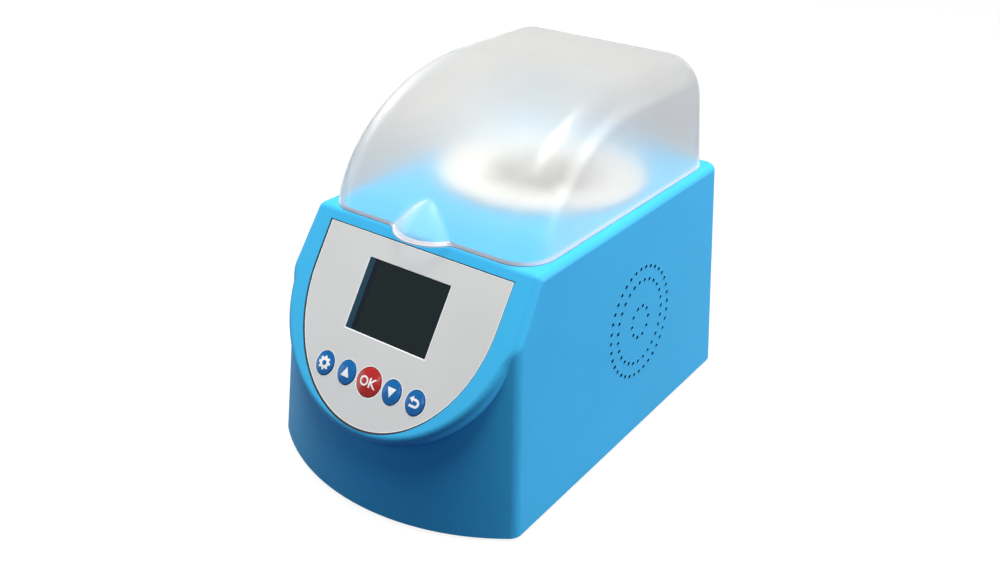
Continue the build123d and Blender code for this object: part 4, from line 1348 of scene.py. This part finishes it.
@dataclass
class Digester:
    """The heating block with its collar, heater, jacket and sensors."""

    centre_y: float = 42.5 * MM
    top_z: float = 157 * MM
    rim_radius: float = 8.5 * MM
    wire: float = 0.26 * MM
    well_circle: float = 23.5 * MM
    wells: int = 6

    def build(self, rims: Repeater) -> None:
        """Dress each piece and round the mouths of the wells."""
        for node, finish in (
            ("heating_block", Finishes.BLOCK),
            ("block_base", Finishes.BLOCK),
            ("block_collar", Finishes.COLLAR),
            ("heater_band", Finishes.SHEET_STEEL),
            ("insulation_jacket", Finishes.WOOL),
            ("jacket_can", Finishes.SHEET_STEEL),
            ("temperature_probe", Finishes.SCREW),
            ("thermal_cutout", Finishes.BLACK),
            ("block_standoffs", Finishes.SCREW),
        ):
            dress(node, finish)
        circle = ellipse(self.well_circle, self.well_circle, self.wells, (0.0, self.centre_y))
        places = [(x, y, self.top_z) for x, y in circle]
        sizes = {"Rim radius": self.rim_radius, "Wire radius": self.wire, "Rim sides": 64}
        mesh = rims.mesh("well_rims", places, Finishes.BLOCK, sizes)
        new_piece("well_rims", mesh, Finishes.BLOCK)


@dataclass(frozen=True)
class ScrewSet:
    """Equal screws in a plane, in place of a frame node's plain ones."""

    node: str
    plane: SlopedPlane
    places: tuple[Pair, ...]
    seat: float
    length: float
    seed: int


@dataclass
class Fastenings:
    """The pan-head screws of the rear wall, the hinges and the feet."""

    head_radius: float = 2.9 * MM
    head_side: float = 0.8 * MM
    head_crown: float = 1.0 * MM
    recess_arm: float = 1.75 * MM
    recess_width: float = 0.95 * MM
    recess_depth: float = 1.2 * MM
    shank_radius: float = 1.5 * MM
    fan_at: Pair = (40 * MM, 84 * MM)
    fan_half: float = 25 * MM
    hinge_x: float = 46 * MM
    hinge_step: float = 6.5 * MM
    hinge_rise: float = 128 * MM
    foot_x: float = 74 * MM
    feet_y: Pair = (-98.5 * MM, 124 * MM)

    def sets(self) -> tuple[ScrewSet, ...]:
        """The three sets of screws."""
        ways = (-1, 1)
        x, y = self.fan_at
        fan = tuple((x + a * self.fan_half, y + b * self.fan_half) for a in ways for b in ways)
        rise = self.hinge_rise / cos(REAR_TILT)
        hinge = tuple(
            (side * self.hinge_x + way * self.hinge_step, rise) for side in ways for way in ways
        )
        feet = tuple((side * self.foot_x, -at) for side in ways for at in self.feet_y)
        return (
            ScrewSet("fan_screws", REAR_WALL, fan, 0.0, 17.6 * MM, 3),
            ScrewSet("hinge_screws", REAR_WALL, hinge, 3 * MM, 12 * MM, 5),
            ScrewSet("base_screws", UNDERSIDE, feet, -2.8 * MM, 12 * MM, 8),
        )

    def build(self, screws: Repeater) -> None:
        """Make each set of screws with cross recesses."""
        for group in self.sets():
            name = f"{group.node}_dressed"
            sizes = {
                "Head radius": self.head_radius,
                "Head side": self.head_side,
                "Head crown": self.head_crown,
                "Recess arm": self.recess_arm,
                "Recess width": self.recess_width,
                "Recess depth": self.recess_depth,
                "Shank radius": self.shank_radius,
                "Shank length": group.length,
                "Turn seed": group.seed,
            }
            places = [(x, y, group.seat) for x, y in group.places]
            mesh = screws.mesh(name, places, Finishes.SCREW, sizes)
            mesh.transform(group.plane.matrix())
            smooth_by_angle(mesh, 40)
            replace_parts(new_piece(name, mesh, Finishes.SCREW), group.node)


@dataclass
class RearWall:
    """Hinges, fan, power inlet and rocker switch."""

    switch_at: Pair = (-48 * MM, 102 * MM)
    mark_rise: float = 4.6 * MM
    mark_lift: float = 0.04 * MM
    bar: Pair = (0.35 * MM, 1.5 * MM)
    ring: Pair = (1.6 * MM, 1.05 * MM)

    def switch_marks(self) -> None:
        """A bar and a ring on the two halves of the rocker."""
        x, y = self.bar
        bar = Outline().polygon((-x, -y), (x, -y), (x, y), (-x, y))
        ring = Outline().band(*(ellipse(radius, radius, 40) for radius in self.ring))
        for name, outline, way in (("rocker_on_mark", bar, 1), ("rocker_off_mark", ring, -1)):
            mesh = outline.mesh(name)
            refine(mesh, 0.5 * MM)
            centre = (self.switch_at[0], self.switch_at[1] + way * self.mark_rise)
            stamp(mesh, REAR_WALL, centre, "switch_rocker", self.mark_lift)
            new_piece(name, mesh, Finishes.ICON, "power_rocker")

    def build(self) -> None:
        """Dress the rear pieces."""
        dress("hinge_brackets", Finishes.BRACKET, 0.2)
        dress("hinge_pins", Finishes.SCREW)
        dress("fan_frame", Finishes.BLACK, 0.2)
        dress("fan_rotor", Finishes.BLACK, body="fan_rotor")
        dress("power_inlet", Finishes.BLACK, 0.3)
        dress("inlet_blades", Finishes.BRASS, 0.25)
        dress("switch_body", Finishes.BLACK, 0.25)
        dress("switch_rocker", Finishes.BLACK, 0.25, "power_rocker")
        self.switch_marks()


@dataclass
class Underside:
    """Base plate, feet, and the electrics that stand on the plate."""

    board_top: float = 13.7 * MM
    relay_top: float = 24 * MM

    def component(self, point: Vector) -> Finishes | None:
        """Finish of a face of the control board, by its height."""
        if point.z > self.relay_top:
            return Finishes.SLEEVE
        return Finishes.RELAY if point.z > self.board_top else None

    def build(self) -> None:
        """Dress the base and what it carries."""
        dress("base_plate", Finishes.BLACK, 0.3)
        dress("feet", Finishes.RUBBER)
        repaint(dress("control_board", Finishes.BOARD), self.component)
        dress("power_supply", Finishes.SHEET_STEEL, 0.6)


def main() -> None:
    """Build and dress the instrument, part by part."""
    logging.basicConfig(level=logging.INFO, format="%(message)s")
    Studio().build()
    rims = rim_tree()
    screws = screw_tree()
    keypad = Keypad()
    Housing().build(rims)
    ConsolePanel().build(keypad)
    keypad.build()
    Lid().build()
    Digester().build(rims)
    RearWall().build()
    Fastenings().build(screws)
    Underside().build()


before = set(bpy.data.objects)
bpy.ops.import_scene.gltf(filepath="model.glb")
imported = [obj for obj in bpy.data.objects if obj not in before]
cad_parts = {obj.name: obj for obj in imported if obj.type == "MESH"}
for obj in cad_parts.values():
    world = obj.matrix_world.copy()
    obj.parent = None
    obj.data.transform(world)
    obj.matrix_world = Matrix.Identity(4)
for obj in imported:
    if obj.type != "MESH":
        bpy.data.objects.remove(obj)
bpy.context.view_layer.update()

if __name__ == "__main__":
    main()
